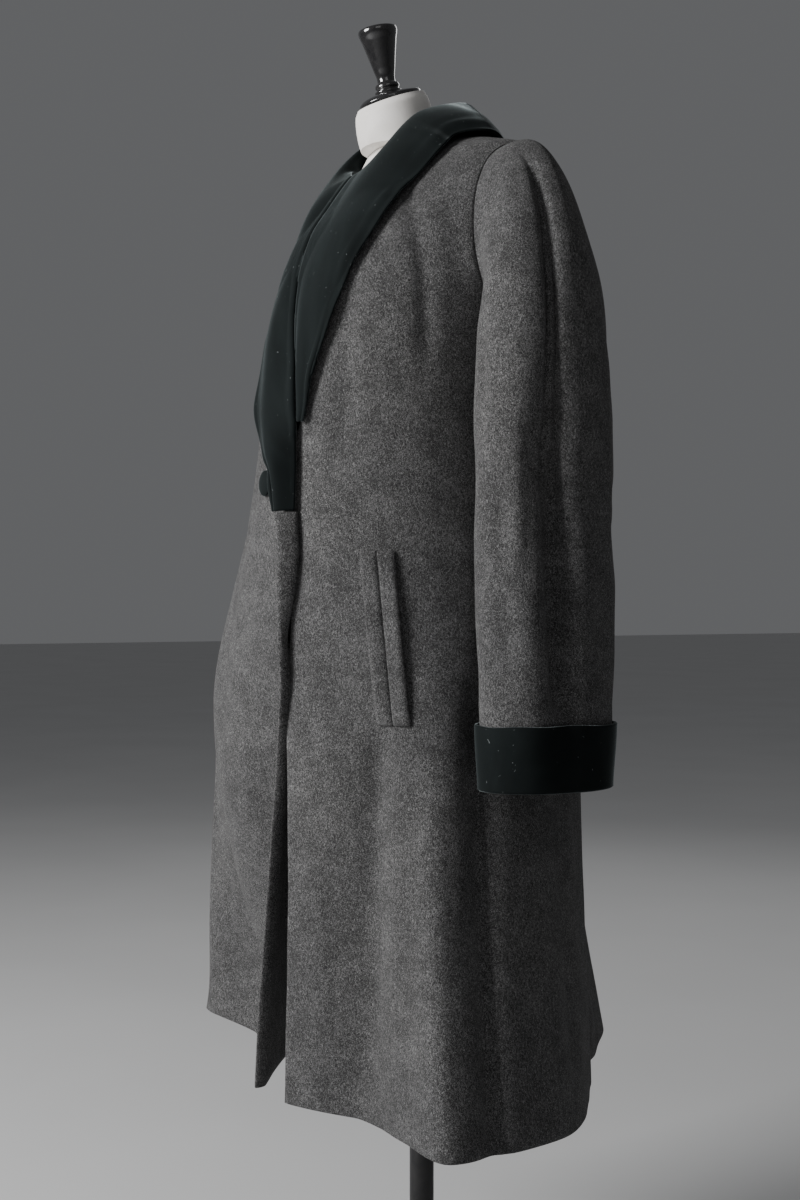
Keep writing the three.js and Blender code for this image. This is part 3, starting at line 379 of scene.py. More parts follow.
SLEEVE_CREASES = (
    # the long fold: two lines close together at the top, opening into one valley below
    Crease((25, 24.5, 24, 23.5, 22), (960, 1060, 1180, 1300, 1385), 4.2, 8.0),
    Crease((14, 15, 16, 17.5, 18.5), (940, 1060, 1180, 1300, 1380), 4.2, 7.5),
    Crease((12, 13, 15, 18, 21), (725, 820, 900, 980, 1080), 10.0, 13.0),
    Crease((41, 38, 37), (880, 980, 1090), 12, 5.0),
    Crease((4, 0, -4), (860, 960, 1060), 15, 2.6),
    Crease((62, 60, 64), (800, 910, 1040), 15, 2.4),
    Crease((85, 92, 96), (1080, 1140, 1200), 10, 2.6),
    Crease((-30, -26, -25), (790, 930, 1080), 17, 3.4),
    Crease((-62, -58, -60), (900, 1010, 1150), 15, 2.8),
    Crease((-95, -85, -82), (1040, 1120, 1190), 13, 3.0),
    Crease((-110, -104, -100), (780, 900, 1010), 16, 2.4),
    Crease((130, 126, 124), (800, 930, 1070), 15, 2.4),
    Crease((-78, -60, -44), (972, 958, 962), 10, 2.0, Run.ROUND),
    Crease((-96, -74, -52), (1010, 1004, 1016), 11, 1.6, Run.ROUND),
)


@dataclass(frozen=True)
class Body:
    """The surface that the inside of the coat's fronts and backs lies on.

    Args:
        creases: the troughs and ridges in it.
    """

    creases: tuple[Crease, ...] = BODY_CREASES

    @staticmethod
    def section(table: Table, angle: Array, z: Array, power: Array | float) -> Array:
        """Radius of a rounded section: the minus 1/power of the sum of |sin|/half and |cos|/depth to that power."""
        turn = np.radians(angle)
        depth = np.where(np.cos(turn) > 0, table.at("front", z), table.at("back", z))
        across = np.abs(np.sin(turn)) / table.at("half", z)
        along = np.abs(np.cos(turn)) / depth
        return (across**power + along**power) ** (-1 / power)

    @staticmethod
    def skirt(name: str, angle: Array) -> Array:
        """A column of the skirt's table at an angle, read round and round."""
        angles, values = SKIRT.column("angle"), SKIRT.column(name)
        return monotone(np.concatenate([angles - 360, angles, angles + 360]), np.tile(values, 3), angle)

    def chest(self, angle: Array, z: Array) -> Array:
        """The radius above the waist. Between 1 and 74 degrees to the wearer's right the chest is flatter."""
        to_right = 180 - np.mod(angle + 540, 360)
        flatness = smooth((to_right - 1) / 13) * smooth((74 - to_right) / 20)
        return self.section(SECTIONS, angle, z, mix(SECTIONS.at("power", z), SECTIONS.at("right", z), flatness))

    def smooth_radius(self, angle: Array, z: Array) -> Array:
        """The radius without creases: sections above the waist, and a curve down to the skirt's outline below."""
        angle, z = np.broadcast_arrays(np.asarray(angle, float), np.asarray(z, float))
        above = self.chest(angle, np.maximum(z, WAIST))
        at_low = self.chest(angle, np.full(z.shape, ARMHOLE_LOW))
        levels = np.stack([self.skirt("hem", angle), self.skirt("middle", angle), above, at_low], axis=-1)
        below = monotone(np.array([HEM - 20, MIDDLE, WAIST, ARMHOLE_LOW]), levels, z)
        return np.where(z >= WAIST, above, below)

    def radius(self, angle: Array, z: Array) -> Array:
        """The radius with creases, which fade out towards the shoulders, and with a faint unevenness."""
        base = self.smooth_radius(angle, z)
        turn = np.mod(np.asarray(angle, float) + 180, 360) - 180
        inset = inset_of(self.creases, turn, z, np.radians(1) * base)
        wave = 0.5 * np.sin(0.021 * z + 0.11 * turn) + 0.4 * np.sin(0.0137 * z - 0.19 * turn + 1.3)
        wave = wave + 0.3 * np.sin(0.052 * z + 0.31 * np.abs(turn) + 0.7)
        return base - inset - wave * smooth((1330 - z) / 80) * 0.8

    def point(self, angle: Array, z: Array, creased: bool = True) -> Array:
        """Points on the surface at angles and heights."""
        angle, z = np.broadcast_arrays(np.asarray(angle, float), np.asarray(z, float))
        r = self.radius(angle, z) if creased else self.smooth_radius(angle, z)
        turn = np.radians(angle)
        return np.stack([r * np.sin(turn), -r * np.cos(turn), z], axis=-1)

    def normal(self, angle: Array, z: Array) -> Array:
        """Outward directions of the smooth surface: the cross product of its slopes around and up."""
        around = self.point(angle + 0.8, z, False) - self.point(angle - 0.8, z, False)
        up = self.point(angle, z + 1.5, False) - self.point(angle, z - 1.5, False)
        return unit(np.cross(around, up))

    def on(self, angle: Array, z: Array, out: Array | float = 0.0) -> Array:
        """Points the distance out off the surface."""
        angle, z = np.broadcast_arrays(np.asarray(angle, float), np.asarray(z, float))
        return self.point(angle, z) + self.normal(angle, z) * np.broadcast_to(out, z.shape)[..., None]

    def row_height(self, z: Array, angle: Array) -> Array:
        """The height of a row at an angle, lifted near the hem where the hem isn't level."""
        return z + self.skirt("lift", angle) * np.clip(1 - (z - HEM) / 320, 0, 1)


BODY = Body()


def outer_edge(z: Array, is_front: bool) -> Array:
    """Angle of a panel's outer edge: the side seam, then half of an ellipse round the armhole, then the shoulder."""
    middle, half = (ARMHOLE_LOW + ARMHOLE_HIGH) / 2, (ARMHOLE_HIGH - ARMHOLE_LOW) / 2
    seam = mix(SIDE_LOW, SIDE_HIGH, smooth((z - MIDDLE) / (ARMHOLE_LOW - MIDDLE)))
    across = np.sqrt(np.maximum(0, 1 - ((z - middle) / half) ** 2))
    return seam + (-1 if is_front else 1) * ARMHOLE_WIDTH * across


def seam_angle(z: Array, at: float = SIDE_HIGH) -> Array:
    """Half of the gap at a seam, in degrees."""
    return np.degrees(SEAM / 2 / BODY.smooth_radius(at, z))


def overlap_out(angle: Array, z: Array) -> Array:
    """How far the right front lies off the body surface: out over the left front, and in where its edge turns."""
    full = WOOL + FACING + 3 * SEAM + 0.8
    raised = full * smooth((angle + 34) / 26) * smooth((LAPEL_END + 80 - z) / 60)
    dip = FLAP.at("dip", z) * bump(angle - FLAP.at("root", z), 15)
    return raised * smooth((z - 800) / 50) - dip


def panel_heights(skirt_rows: int = 150, armhole_rows: int = 44, shoulder_rows: int = 34) -> Array:
    """Heights of a panel's rows: even in the skirt, by equal turns round the armhole, and closer on the shoulder."""
    turn = np.linspace(0, math.pi, armhole_rows + 1)
    middle, half = (ARMHOLE_LOW + ARMHOLE_HIGH) / 2, (ARMHOLE_HIGH - ARMHOLE_LOW) / 2
    shoulder = mix(ARMHOLE_HIGH, NECK_TOP, np.linspace(0, 1, shoulder_rows + 1)[1:] ** 1.25)
    skirt = np.linspace(HEM, ARMHOLE_LOW, skirt_rows, endpoint=False)
    return np.concatenate([skirt, middle - half * np.cos(turn), shoulder])


def spaced_angles(start: Array, end: Array, z: Array, columns: int, seam_first: bool) -> Array:
    """Angles of each row's columns, evenly spaced along the cloth, closer at the shoulder seam high up.

    Args:
        start: each row's first angle.
        end: each row's last angle.
        z: each row's height.
        columns: the number of columns.
        seam_first: whether the shoulder seam is at the first column.

    Returns:
        Rows by columns of angles.
    """
    samples = mix(start[:, None], end[:, None], np.linspace(0, 1, 161))
    steps = np.linalg.norm(np.diff(BODY.point(samples, z[:, None], False), axis=1), axis=2)
    lengths = np.concatenate([np.zeros((len(z), 1)), np.cumsum(steps, axis=1)], axis=1)
    crowd = (1 + 0.5 * smooth((z - 1330) / 60))[:, None]
    t = np.linspace(0, 1, columns)
    part = t**crowd if seam_first else 1 - (1 - t) ** crowd
    wanted = lengths[:, -1:] * part
    return np.stack([np.interp(*row) for row in zip(wanted, lengths, samples)])


def grid_normals(grid: Array, closed: bool = False) -> Array:
    """Outward directions at a grid's points: the cross product of the steps around and up to their neighbours."""
    if closed:
        around = np.roll(grid, -1, axis=1) - np.roll(grid, 1, axis=1)
    else:
        around = np.gradient(grid, axis=1)
    return unit(np.cross(around, np.gradient(grid, axis=0)))


def mirrored(grid: Array) -> Array:
    """The grid's mirror image, with its columns turned round so that it still faces out."""
    return (grid * np.array([-1.0, 1.0, 1.0]))[:, ::-1]


def new_object(name: str, points: Array, faces: list[list[int]]) -> bpy.types.Object:
    """Puts points in millimetres and faces in a smooth mesh object at the origin."""
    mesh = bpy.data.meshes.new(name)
    mesh.from_pydata((points * MM).tolist(), [], faces)
    mesh.polygons.foreach_set("use_smooth", np.ones(len(mesh.polygons), bool))
    mesh.update()
    made = bpy.data.objects.new(name, mesh)
    bpy.context.scene.collection.objects.link(made)
    return made


def strips(first: Array, second: Array) -> Array:
    """Quads between two rows of point numbers, first row below the second as seen from outside."""
    return np.stack([first[:-1], first[1:], second[1:], second[:-1]], axis=1)


def shell(name: str, inner: Array, thickness: float | Array, closed: bool = False) -> bpy.types.Object:
    """A closed thin wall outside a grid of points, with round edges.

    The outer grid is the inner one moved out along its normals by the thickness. Between them, each free edge has
    a middle line that stands out from the edge by about half of the thickness.

    Args:
        name: the piece's name.
        inner: rows by columns by 3 points of the wall's inside, rows going up and columns going round to the
            wearer's left.
        thickness: the wall's thickness.
        closed: whether the columns go all the way round.

    Returns:
        The wall as an object.
    """
    rows, columns = inner.shape[:2]
    normals = grid_normals(inner, closed)
    outer = inner + normals * np.broadcast_to(thickness, inner.shape[:2])[..., None]
    count = rows * columns
    low = np.arange(count).reshape(rows, columns)
    if closed:
        low = np.concatenate([low, low[:, :1]], axis=1)
    high = low + count
    faces = [
        np.stack([high[:-1, :-1], high[:-1, 1:], high[1:, 1:], high[1:, :-1]], axis=-1).reshape(-1, 4),
        np.stack([low[:-1, :-1], low[1:, :-1], low[1:, 1:], low[:-1, 1:]], axis=-1).reshape(-1, 4),
    ]
    points = [inner.reshape(-1, 3), outer.reshape(-1, 3)]
    flat_inner, flat_outer = points
    outward = np.zeros_like(inner)
    outward[0] += unit(inner[0] - inner[1])
    outward[-1] += unit(inner[-1] - inner[-2])
    if closed:
        loops = [low[0, :-1], low[-1, :-1][::-1]]
    else:
        outward[:, 0] += unit(inner[:, 0] - inner[:, 1])
        outward[:, -1] += unit(inner[:, -1] - inner[:, -2])
        loops = [np.concatenate([low[0, :-1], low[:-1, -1], low[-1, :0:-1], low[:0:-1, 0]])]
    outward = unit(outward).reshape(-1, 3)
    thick = np.broadcast_to(thickness, inner.shape[:2]).reshape(-1)
    total = 2 * count
    for loop in loops:
        middle = (flat_inner[loop] + flat_outer[loop]) / 2 + outward[loop] * thick[loop][:, None] * 0.45
        points.append(middle)
        ring = np.append(np.arange(total, total + len(loop)), total)
        edge = np.append(loop, loop[0])
        faces += [strips(ring, edge + count), strips(edge, ring)]
        total += len(loop)
    return new_object(name, np.concatenate(points), np.concatenate(faces).tolist())


def revolved(name: str, profile: Array, centre: Array, axis: Array, segments: int = 96) -> bpy.types.Object:
    """A solid of revolution.

    Args:
        name: the piece's name.
        profile: N by 2 radii and distances along the axis, from the first end to the last, radii above 0.
        centre: where distance 0 is.
        axis: the direction of the axis.
        segments: the number of steps round it.

    Returns:
        The solid, closed at both ends, whose sharp turns stay sharp.
    """
    axis = unit(np.asarray(axis, float))
    across = unit(np.cross(axis, (1.0, 0.0, 0.0) if abs(axis[0]) < 0.9 else (0.0, 1.0, 0.0)))
    third = np.cross(axis, across)
    turn = np.linspace(0, 2 * math.pi, segments, endpoint=False)
    ring = np.cos(turn)[:, None] * across + np.sin(turn)[:, None] * third
    centre = np.asarray(centre, float)
    body = centre + profile[:, :1, None] * ring + (profile[:, 1:, None] * axis)
    ends = centre + np.stack([profile[0, 1] * axis, profile[-1, 1] * axis])
    return lofted(name, body, ends)


def lofted(name: str, rings: Array, ends: Array, sharp: float = 40.0) -> bpy.types.Object:
    """A closed solid through rings of points that run anticlockwise as seen from its far end.

    Args:
        name: the piece's name.
        rings: rings by points by 3.
        ends: the middle of the first and of the last ring.
        sharp: turns beyond this many degrees stay sharp.

    Returns:
        The solid.
    """
    rows, columns = rings.shape[:2]
    index = np.arange(rows * columns).reshape(rows, columns)
    index = np.concatenate([index, index[:, :1]], axis=1)
    quads = np.stack([index[:-1, :-1], index[:-1, 1:], index[1:, 1:], index[1:, :-1]], axis=-1).reshape(-1, 4)
    first, last = rows * columns, rows * columns + 1
    low = [[b, a, first] for a, b in zip(index[0, :-1].tolist(), index[0, 1:].tolist())]
    high = [[a, b, last] for a, b in zip(index[-1, :-1].tolist(), index[-1, 1:].tolist())]
    made = new_object(name, np.concatenate([rings.reshape(-1, 3), ends]), quads.tolist() + low + high)
    made.data.set_sharp_from_angle(angle=math.radians(sharp))
    return made


class Nodes:
    """Adds shader nodes to a new material."""

    def __init__(self, name: str) -> None:
        """Makes the material, with its main shader."""
        self.material = bpy.data.materials.new(name)
        self.material.use_nodes = True
        self.tree = self.material.node_tree
        self.shader = self.tree.nodes["Principled BSDF"]
        self.place = self.tree.nodes.new("ShaderNodeTexCoord").outputs["Object"]

    def set(self, **values: float | tuple[float, ...]) -> None:
        """Sets the shader's own sockets, named with underscores for spaces."""
        for name, value in values.items():
            self.shader.inputs[name.replace("_", " ")].default_value = value

    def stretched(self, scale: tuple[float, float, float]) -> bpy.types.NodeSocket:
        """The piece's coordinates, stretched."""
        node = self.tree.nodes.new("ShaderNodeMapping")
        node.inputs["Scale"].default_value = scale
        self.tree.links.new(self.place, node.inputs["Vector"])
        return node.outputs["Vector"]

    def noise(
        self,
        scale: float,
        detail: float = 3.0,
        rough: float = 0.6,
        twist: float = 0.0,
        stretch: tuple[float, float, float] = (1.0, 1.0, 1.0),
    ) -> bpy.types.NodeSocket:
        """Noise of scale waves to the metre, as a value from 0 to 1.

        Args:
            scale: waves to the metre.
            detail: the number of finer layers.
            rough: how strong the finer layers are.
            twist: how far the pattern curls.
            stretch: the scale of each axis.

        Returns:
            The noise's value.
        """
        node = self.tree.nodes.new("ShaderNodeTexNoise")
        node.inputs["Scale"].default_value = scale
        node.inputs["Detail"].default_value = detail
        node.inputs["Roughness"].default_value = rough
        node.inputs["Distortion"].default_value = twist
        self.tree.links.new(self.stretched(stretch), node.inputs["Vector"])
        return node.outputs["Fac"]

    def ramp(
        self, value: bpy.types.NodeSocket, stops: tuple[tuple[float, tuple[float, float, float]], ...]
    ) -> bpy.types.NodeSocket:
        """Colours at stops along a value."""
        node = self.tree.nodes.new("ShaderNodeValToRGB")
        ramp = node.color_ramp
        while len(ramp.elements) < len(stops):
            ramp.elements.new(0.5)
        for element, (position, colour) in zip(ramp.elements, stops):
            element.position = position
            element.color = (*colour, 1.0)
        self.tree.links.new(value, node.inputs["Fac"])
        return node.outputs["Color"]

    def levels(self, value: bpy.types.NodeSocket, low: float, high: float, to_low: float = 0.0,
               to_high: float = 1.0) -> bpy.types.NodeSocket:
        """The value, spread so that low to high becomes to_low to to_high, and clipped there."""
        node = self.tree.nodes.new("ShaderNodeMapRange")
        for name, number in (("From Min", low), ("From Max", high), ("To Min", to_low), ("To Max", to_high)):
            node.inputs[name].default_value = number
        self.tree.links.new(value, node.inputs["Value"])
        return node.outputs["Result"]

    def math(self, operation: str, a: bpy.types.NodeSocket, b: bpy.types.NodeSocket | float) -> bpy.types.NodeSocket:
        """The operation on two values."""
        node = self.tree.nodes.new("ShaderNodeMath")
        node.operation = operation
        self.tree.links.new(a, node.inputs[0])
        if isinstance(b, (int, float)):
            node.inputs[1].default_value = b
        else:
            self.tree.links.new(b, node.inputs[1])
        return node.outputs["Value"]

    def blend(
        self, part: bpy.types.NodeSocket | float, a: bpy.types.NodeSocket, b: bpy.types.NodeSocket | tuple,
        kind: str = "MIX",
    ) -> bpy.types.NodeSocket:
        """Colour a with colour b laid over it by part."""
        node = self.tree.nodes.new("ShaderNodeMix")
        node.data_type = "RGBA"
        node.blend_type = kind
        for value, socket in ((part, node.inputs["Factor"]), (a, node.inputs[6]), (b, node.inputs[7])):
            if isinstance(value, bpy.types.NodeSocket):
                self.tree.links.new(value, socket)
            else:
                socket.default_value = value
        return node.outputs[2]

    def colour(self, socket: bpy.types.NodeSocket) -> None:
        """Links the shader's base colour."""
        self.tree.links.new(socket, self.shader.inputs["Base Color"])

    def roughness(self, socket: bpy.types.NodeSocket) -> None:
        """Links the shader's roughness."""
        self.tree.links.new(socket, self.shader.inputs["Roughness"])

    def bumps(self, layers: tuple[tuple[bpy.types.NodeSocket, float, float], ...]) -> None:
        """Adds layers of relief to the shader, each a value, a height in millimetres and a strength."""
        normal = None
        for value, height, strength in layers:
            node = self.tree.nodes.new("ShaderNodeBump")
            node.inputs["Distance"].default_value = height * MM
            node.inputs["Strength"].default_value = strength
            self.tree.links.new(value, node.inputs["Height"])
            if normal is not None:
                self.tree.links.new(normal, node.inputs["Normal"])
            normal = node.outputs["Normal"]
        self.tree.links.new(normal, self.shader.inputs["Normal"])


@dataclass(frozen=True)
class WoolFinish:
    """Melange wool with a short curly nap: dark and light fibres mixed, twisted in a small irregular pattern."""

    dark: tuple[float, float, float] = (0.015, 0.0148, 0.0150)
    middle: tuple[float, float, float] = (0.050, 0.0492, 0.0492)
    light: tuple[float, float, float] = (0.25, 0.248, 0.247)
    fibres_per_metre: float = 720.0

    def build(self, name: str = "wool_melange") -> bpy.types.Material:
        """Makes the material."""
        nodes = Nodes(name)
        curls = nodes.noise(self.fibres_per_metre, 4, 0.65, 1.6, (1.0, 1.0, 0.62))
        fine = nodes.noise(self.fibres_per_metre * 2.6, 2, 0.6, 0.8, (1.0, 1.0, 0.7))
        patches = nodes.noise(34, 3, 0.6, 0.3)
        broad = nodes.noise(5, 2, 0.5)
        mixed = nodes.math("ADD", nodes.math("MULTIPLY", curls, 0.66), nodes.math("MULTIPLY", fine, 0.34))
        tone = nodes.math("ADD", mixed, nodes.math("MULTIPLY", nodes.math("SUBTRACT", patches, 0.5), 0.09))
        base = nodes.ramp(tone, ((0.41, self.dark), (0.5, self.middle), (0.61, self.light)))
        shade = nodes.ramp(broad, ((0.3, (0.86, 0.86, 0.87)), (0.7, (1.0, 0.995, 0.99))))
        nodes.colour(nodes.blend(1.0, base, shade, "MULTIPLY"))
        nodes.set(Roughness=0.96, Sheen_Weight=0.08, Sheen_Roughness=0.6, Specular_IOR_Level=0.1)
        nodes.set(Sheen_Tint=(0.9, 0.89, 0.89, 1.0))
        nodes.bumps(((patches, 0.9, 0.35), (curls, 1.3, 0.9), (fine, 0.6, 0.6)))
        return nodes.material


@dataclass(frozen=True)
class VelvetFinish:
    """Cotton velvet: nearly black green, with a pile that shines where it is seen from the side."""

    ground: tuple[float, float, float] = (0.0042, 0.0058, 0.0059)
    brushed: tuple[float, float, float] = (0.0100, 0.0132, 0.0135)
    lint: tuple[float, float, float] = (0.10, 0.11, 0.11)

    def build(self, name: str = "velvet_black_green") -> bpy.types.Material:
        """Makes the material."""
        nodes = Nodes(name)
        brushed = nodes.noise(11, 3, 0.6, 0.9, (1.0, 1.0, 0.55))
        pile = nodes.noise(1500, 2, 0.6)
        specks = nodes.levels(nodes.noise(260, 1, 0.5, 0.6), 0.755, 0.79)
        base = nodes.ramp(brushed, ((0.35, self.ground), (0.68, self.brushed)))
        grained = nodes.blend(nodes.levels(pile, 0.3, 0.7, 0.0, 0.45), base, (*self.ground, 1.0))
        nodes.colour(nodes.blend(specks, grained, (*self.lint, 1.0)))
        nodes.set(Roughness=0.85, Sheen_Weight=0.5, Sheen_Roughness=0.28, Specular_IOR_Level=0.08)
        nodes.set(Sheen_Tint=(0.58, 0.66, 0.67, 1.0))
        nodes.bumps(((brushed, 1.2, 0.25), (pile, 0.25, 0.35)))
        return nodes.material


@dataclass(frozen=True)
class CoverFinish:
    """The form's off-white cover of smooth cloth, a little warm and slightly marked by use."""

    clean: tuple[float, float, float] = (0.80, 0.775, 0.74)
    worn: tuple[float, float, float] = (0.66, 0.63, 0.59)

    def build(self, name: str = "form_cover") -> bpy.types.Material:
        """Makes the material."""
        nodes = Nodes(name)
        marks = nodes.noise(14, 4, 0.6, 0.4)
        weave = nodes.noise(1900, 1, 0.5)
        nodes.colour(nodes.ramp(marks, ((0.3, self.worn), (0.52, self.clean))))
        nodes.roughness(nodes.levels(marks, 0.3, 0.7, 0.5, 0.66))
        nodes.set(Specular_IOR_Level=0.35, Sheen_Weight=0.05)
        nodes.bumps(((marks, 0.4, 0.15), (weave, 0.12, 0.3)))
        return nodes.material


@dataclass(frozen=True)
class GlossFinish:
    """Black lacquer or paint with faint scuffs.

    Args:
        name: the material's name.
        rough: the roughness where it is clean.
        metallic: how much of it is bare metal.
        coat: the weight of the clear layer.
    """

    name: str
    rough: float
    metallic: float = 0.0
    coat: float = 0.0

    def build(self) -> bpy.types.Material:
        """Makes the material."""
        nodes = Nodes(self.name)
        scuffs = nodes.noise(60, 4, 0.7, 0.5)
        grain = nodes.noise(22, 2, 0.5, 0.2, (1.0, 1.0, 4.0))
        nodes.colour(nodes.ramp(scuffs, ((0.3, (0.008, 0.008, 0.009)), (0.75, (0.022, 0.021, 0.021)))))
        nodes.roughness(nodes.levels(scuffs, 0.35, 0.75, self.rough, self.rough + 0.16))
        nodes.set(Metallic=self.metallic, Coat_Weight=self.coat, Coat_Roughness=0.08)
        nodes.bumps(((grain, 0.1, 0.15),))
        return nodes.material


@dataclass
class Wardrobe:
    """The finished materials, and the dressing that every piece gets."""

    wool: bpy.types.Material = field(default_factory=lambda: WoolFinish().build())
    velvet: bpy.types.Material = field(default_factory=lambda: VelvetFinish().build())
    cover: bpy.types.Material = field(default_factory=lambda: CoverFinish().build())
    lacquer: bpy.types.Material = field(
        default_factory=lambda: GlossFinish("black_lacquer", 0.1, coat=1.0).build()
    )
    metal: bpy.types.Material = field(
        default_factory=lambda: GlossFinish("black_satin_metal", 0.34, metallic=0.3).build()
    )

    def dress(
        self, piece: bpy.types.Object, material: bpy.types.Material, node: str
    ) -> bpy.types.Object:
        """Gives a piece its material and its body, and hides the solid that it stands for.

        Args:
            piece: the piece.
            material: its material.
            node: the solid.

        Returns:
            The piece.
        """
        piece.data.materials.append(material)
        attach(piece, "root")
        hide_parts(node)
        log.info("%s: %d faces", piece.name, len(piece.data.polygons))
        return piece


@dataclass
class Fronts:
    """The two fronts, the right one's facing and the button.

    Args:
        columns: columns of the fronts' grids.
        flap_columns: further columns of the right front's rolled-out edge.
        lip_columns: columns of the lip that curls back along that edge.
        lip_radius: the lip's radius.
        lip_turn: how far the lip turns, in radians.
    """

    columns: int = 76
    flap_columns: int = 16
    lip_columns: int = 12
    lip_radius: float = 11.0
    lip_turn: float = 1.4

    def left(self, wardrobe: Wardrobe) -> None:
        """The left front, from its free edge and the neckline to the side seam."""
        z = panel_heights()
        start = np.where(z >= NECK_PIT, NECKLINE.at("angle", z), LINES.at("left", z))
        angles = spaced_angles(start, outer_edge(z, True) - seam_angle(z), z, self.columns, False)
        grid = BODY.on(angles, BODY.row_height(z[:, None], angles))
        piece = wardrobe.dress(shell("front_left_cloth", grid, WOOL), wardrobe.wool, "front_left")

    def right_grid(self) -> tuple[Array, int]:
        """The right front's grid: the panel's columns, then its rolled-out edge.

        Below the button the edge is a quadratic curve from the turn, with a control point straight ahead of it,
        then an arc that curls back over the outer face to the free edge. Above the button it narrows to nothing
        under the lapel.

        Returns:
            The grid and the number of its rows below the lapel's end.
        """
        z = panel_heights()
        z = np.sort(np.concatenate([z[np.abs(z - FLAP_TOP) > 5], FLAP_TOP + np.array([-3, 0, 1.2, 2.4, 4.0])]))
        low = z <= FLAP_TOP
        root = np.where(low, FLAP.at("root", z), LINES.at("meet", z) - 1.6)
        root = np.where(z >= NECK_PIT, -NECKLINE.at("angle", z), root)
        start = -outer_edge(z, True) + seam_angle(z)
        angles = spaced_angles(start, root, z, self.columns, True)
        panel = BODY.on(angles, BODY.row_height(z[:, None], angles), overlap_out(angles, z[:, None]))
        height = BODY.row_height(z, root)
        turn = panel[:, -1]
        before = BODY.on(root - 4, height, overlap_out(root - 4, z))
        end = np.stack([FLAP.at("x", z), FLAP.at("y", z), height], axis=-1)
        control = turn + unit(turn - before) * FLAP.at("roll", z)[:, None]
        size = np.minimum(self.lip_radius, 0.35 * np.linalg.norm(end - turn, axis=1, keepdims=True))
        onward = unit(end - control)
        sideways = unit(np.cross(onward, (0.0, 0.0, 1.0)))
        start_of_lip = end - size * (math.sin(self.lip_turn) * onward + (1 - math.cos(self.lip_turn)) * sideways)
        t = (np.arange(self.flap_columns) + 1)[None, :, None] / self.flap_columns
        curve = turn[:, None] * (1 - t) ** 2 + 2 * control[:, None] * t * (1 - t) + start_of_lip[:, None] * t**2
        onward = unit(start_of_lip - control)[:, None]
        sideways = unit(np.cross(onward, (0.0, 0.0, 1.0)))
        bend = (np.arange(self.lip_columns) + 1)[None, :, None] * self.lip_turn / self.lip_columns
        lip = start_of_lip[:, None] + size[:, None] * (np.sin(bend) * onward + (1 - np.cos(bend)) * sideways)
        curve = np.concatenate([curve, lip], axis=1)
        even = (np.arange(curve.shape[1]) + 1)[None, :, None] / curve.shape[1]
        ahead = turn[:, None] + unit(turn - before)[:, None] * even * 0.4
        keep = smooth((FLAP_TOP + 3.6 - z) / 3.6)[:, None, None]
        edge = np.where(low[:, None, None], curve, mix(ahead, curve, keep))
        return np.concatenate([panel, edge], axis=1), int(low.sum())

    def right(self, wardrobe: Wardrobe) -> None:
        """The right front with its rolled-out edge, and the facing inside that edge."""
        grid, low = self.right_grid()
        piece = wardrobe.dress(shell("front_right_cloth", grid, WOOL), wardrobe.wool, "front_right")
        from_column = self.columns - 8
        normals = grid_normals(grid)[:low, from_column:]
        inside = grid[:low, from_column:] - normals * (SEAM + FACING)
        facing = wardrobe.dress(shell("facing_right_cloth", inside, FACING), wardrobe.wool, "facing_right")

    def button(self, wardrobe: Wardrobe) -> None:
        """The covered button: a low dome with a round rim and a flat underside."""
        radius, height = 15.0, 6.0
        t = np.linspace(0, 1, 16)
        dome = np.stack([radius * 0.985 * np.cos(t * 1.5), height * (0.45 + 0.55 * np.sin(t * math.pi / 2))], 1)
        rim = np.array([(radius * 0.6, 0.0), (radius * 0.86, 0.1), (radius * 0.96, height * 0.12),
                        (radius, height * 0.3)])
        angle, z = np.array(-3.5), np.array(1024.0)
        seat = BODY.on(angle, z, WOOL + 2 * SEAM + overlap_out(angle, z))
        made = revolved("button_covered", np.concatenate([rim, dome]), seat, BODY.normal(angle, z), 64)
        wardrobe.dress(made, wardrobe.velvet, "button")

    def build(self, wardrobe: Wardrobe) -> None:
        """Builds and dresses all of it."""
        self.left(wardrobe)
        self.right(wardrobe)
        self.button(wardrobe)


@dataclass
class Back:
    """One half of the back, from the side seam and armhole to the centre seam.

    Args:
        side: which half.
        columns: columns of its grid.
    """

    side: Side
    columns: int = 64

    def grid(self) -> Array:
        """The half's points."""
        z = panel_heights()
        edge = outer_edge(z, False) + seam_angle(z)
        centre = 180 - seam_angle(z, 180)
        if self.side is Side.LEFT:
            angles = spaced_angles(edge, centre, z, self.columns, True)
        else:
            angles = spaced_angles(360 - centre, 360 - edge, z, self.columns, False)
        return BODY.on(angles, BODY.row_height(z[:, None], angles))

    def build(self, wardrobe: Wardrobe) -> None:
        """Builds and dresses it."""
        label = self.side.label
        made = shell(f"back_{label}_cloth", self.grid(), WOOL)
        piece = wardrobe.dress(made, wardrobe.wool, f"back_{label}")


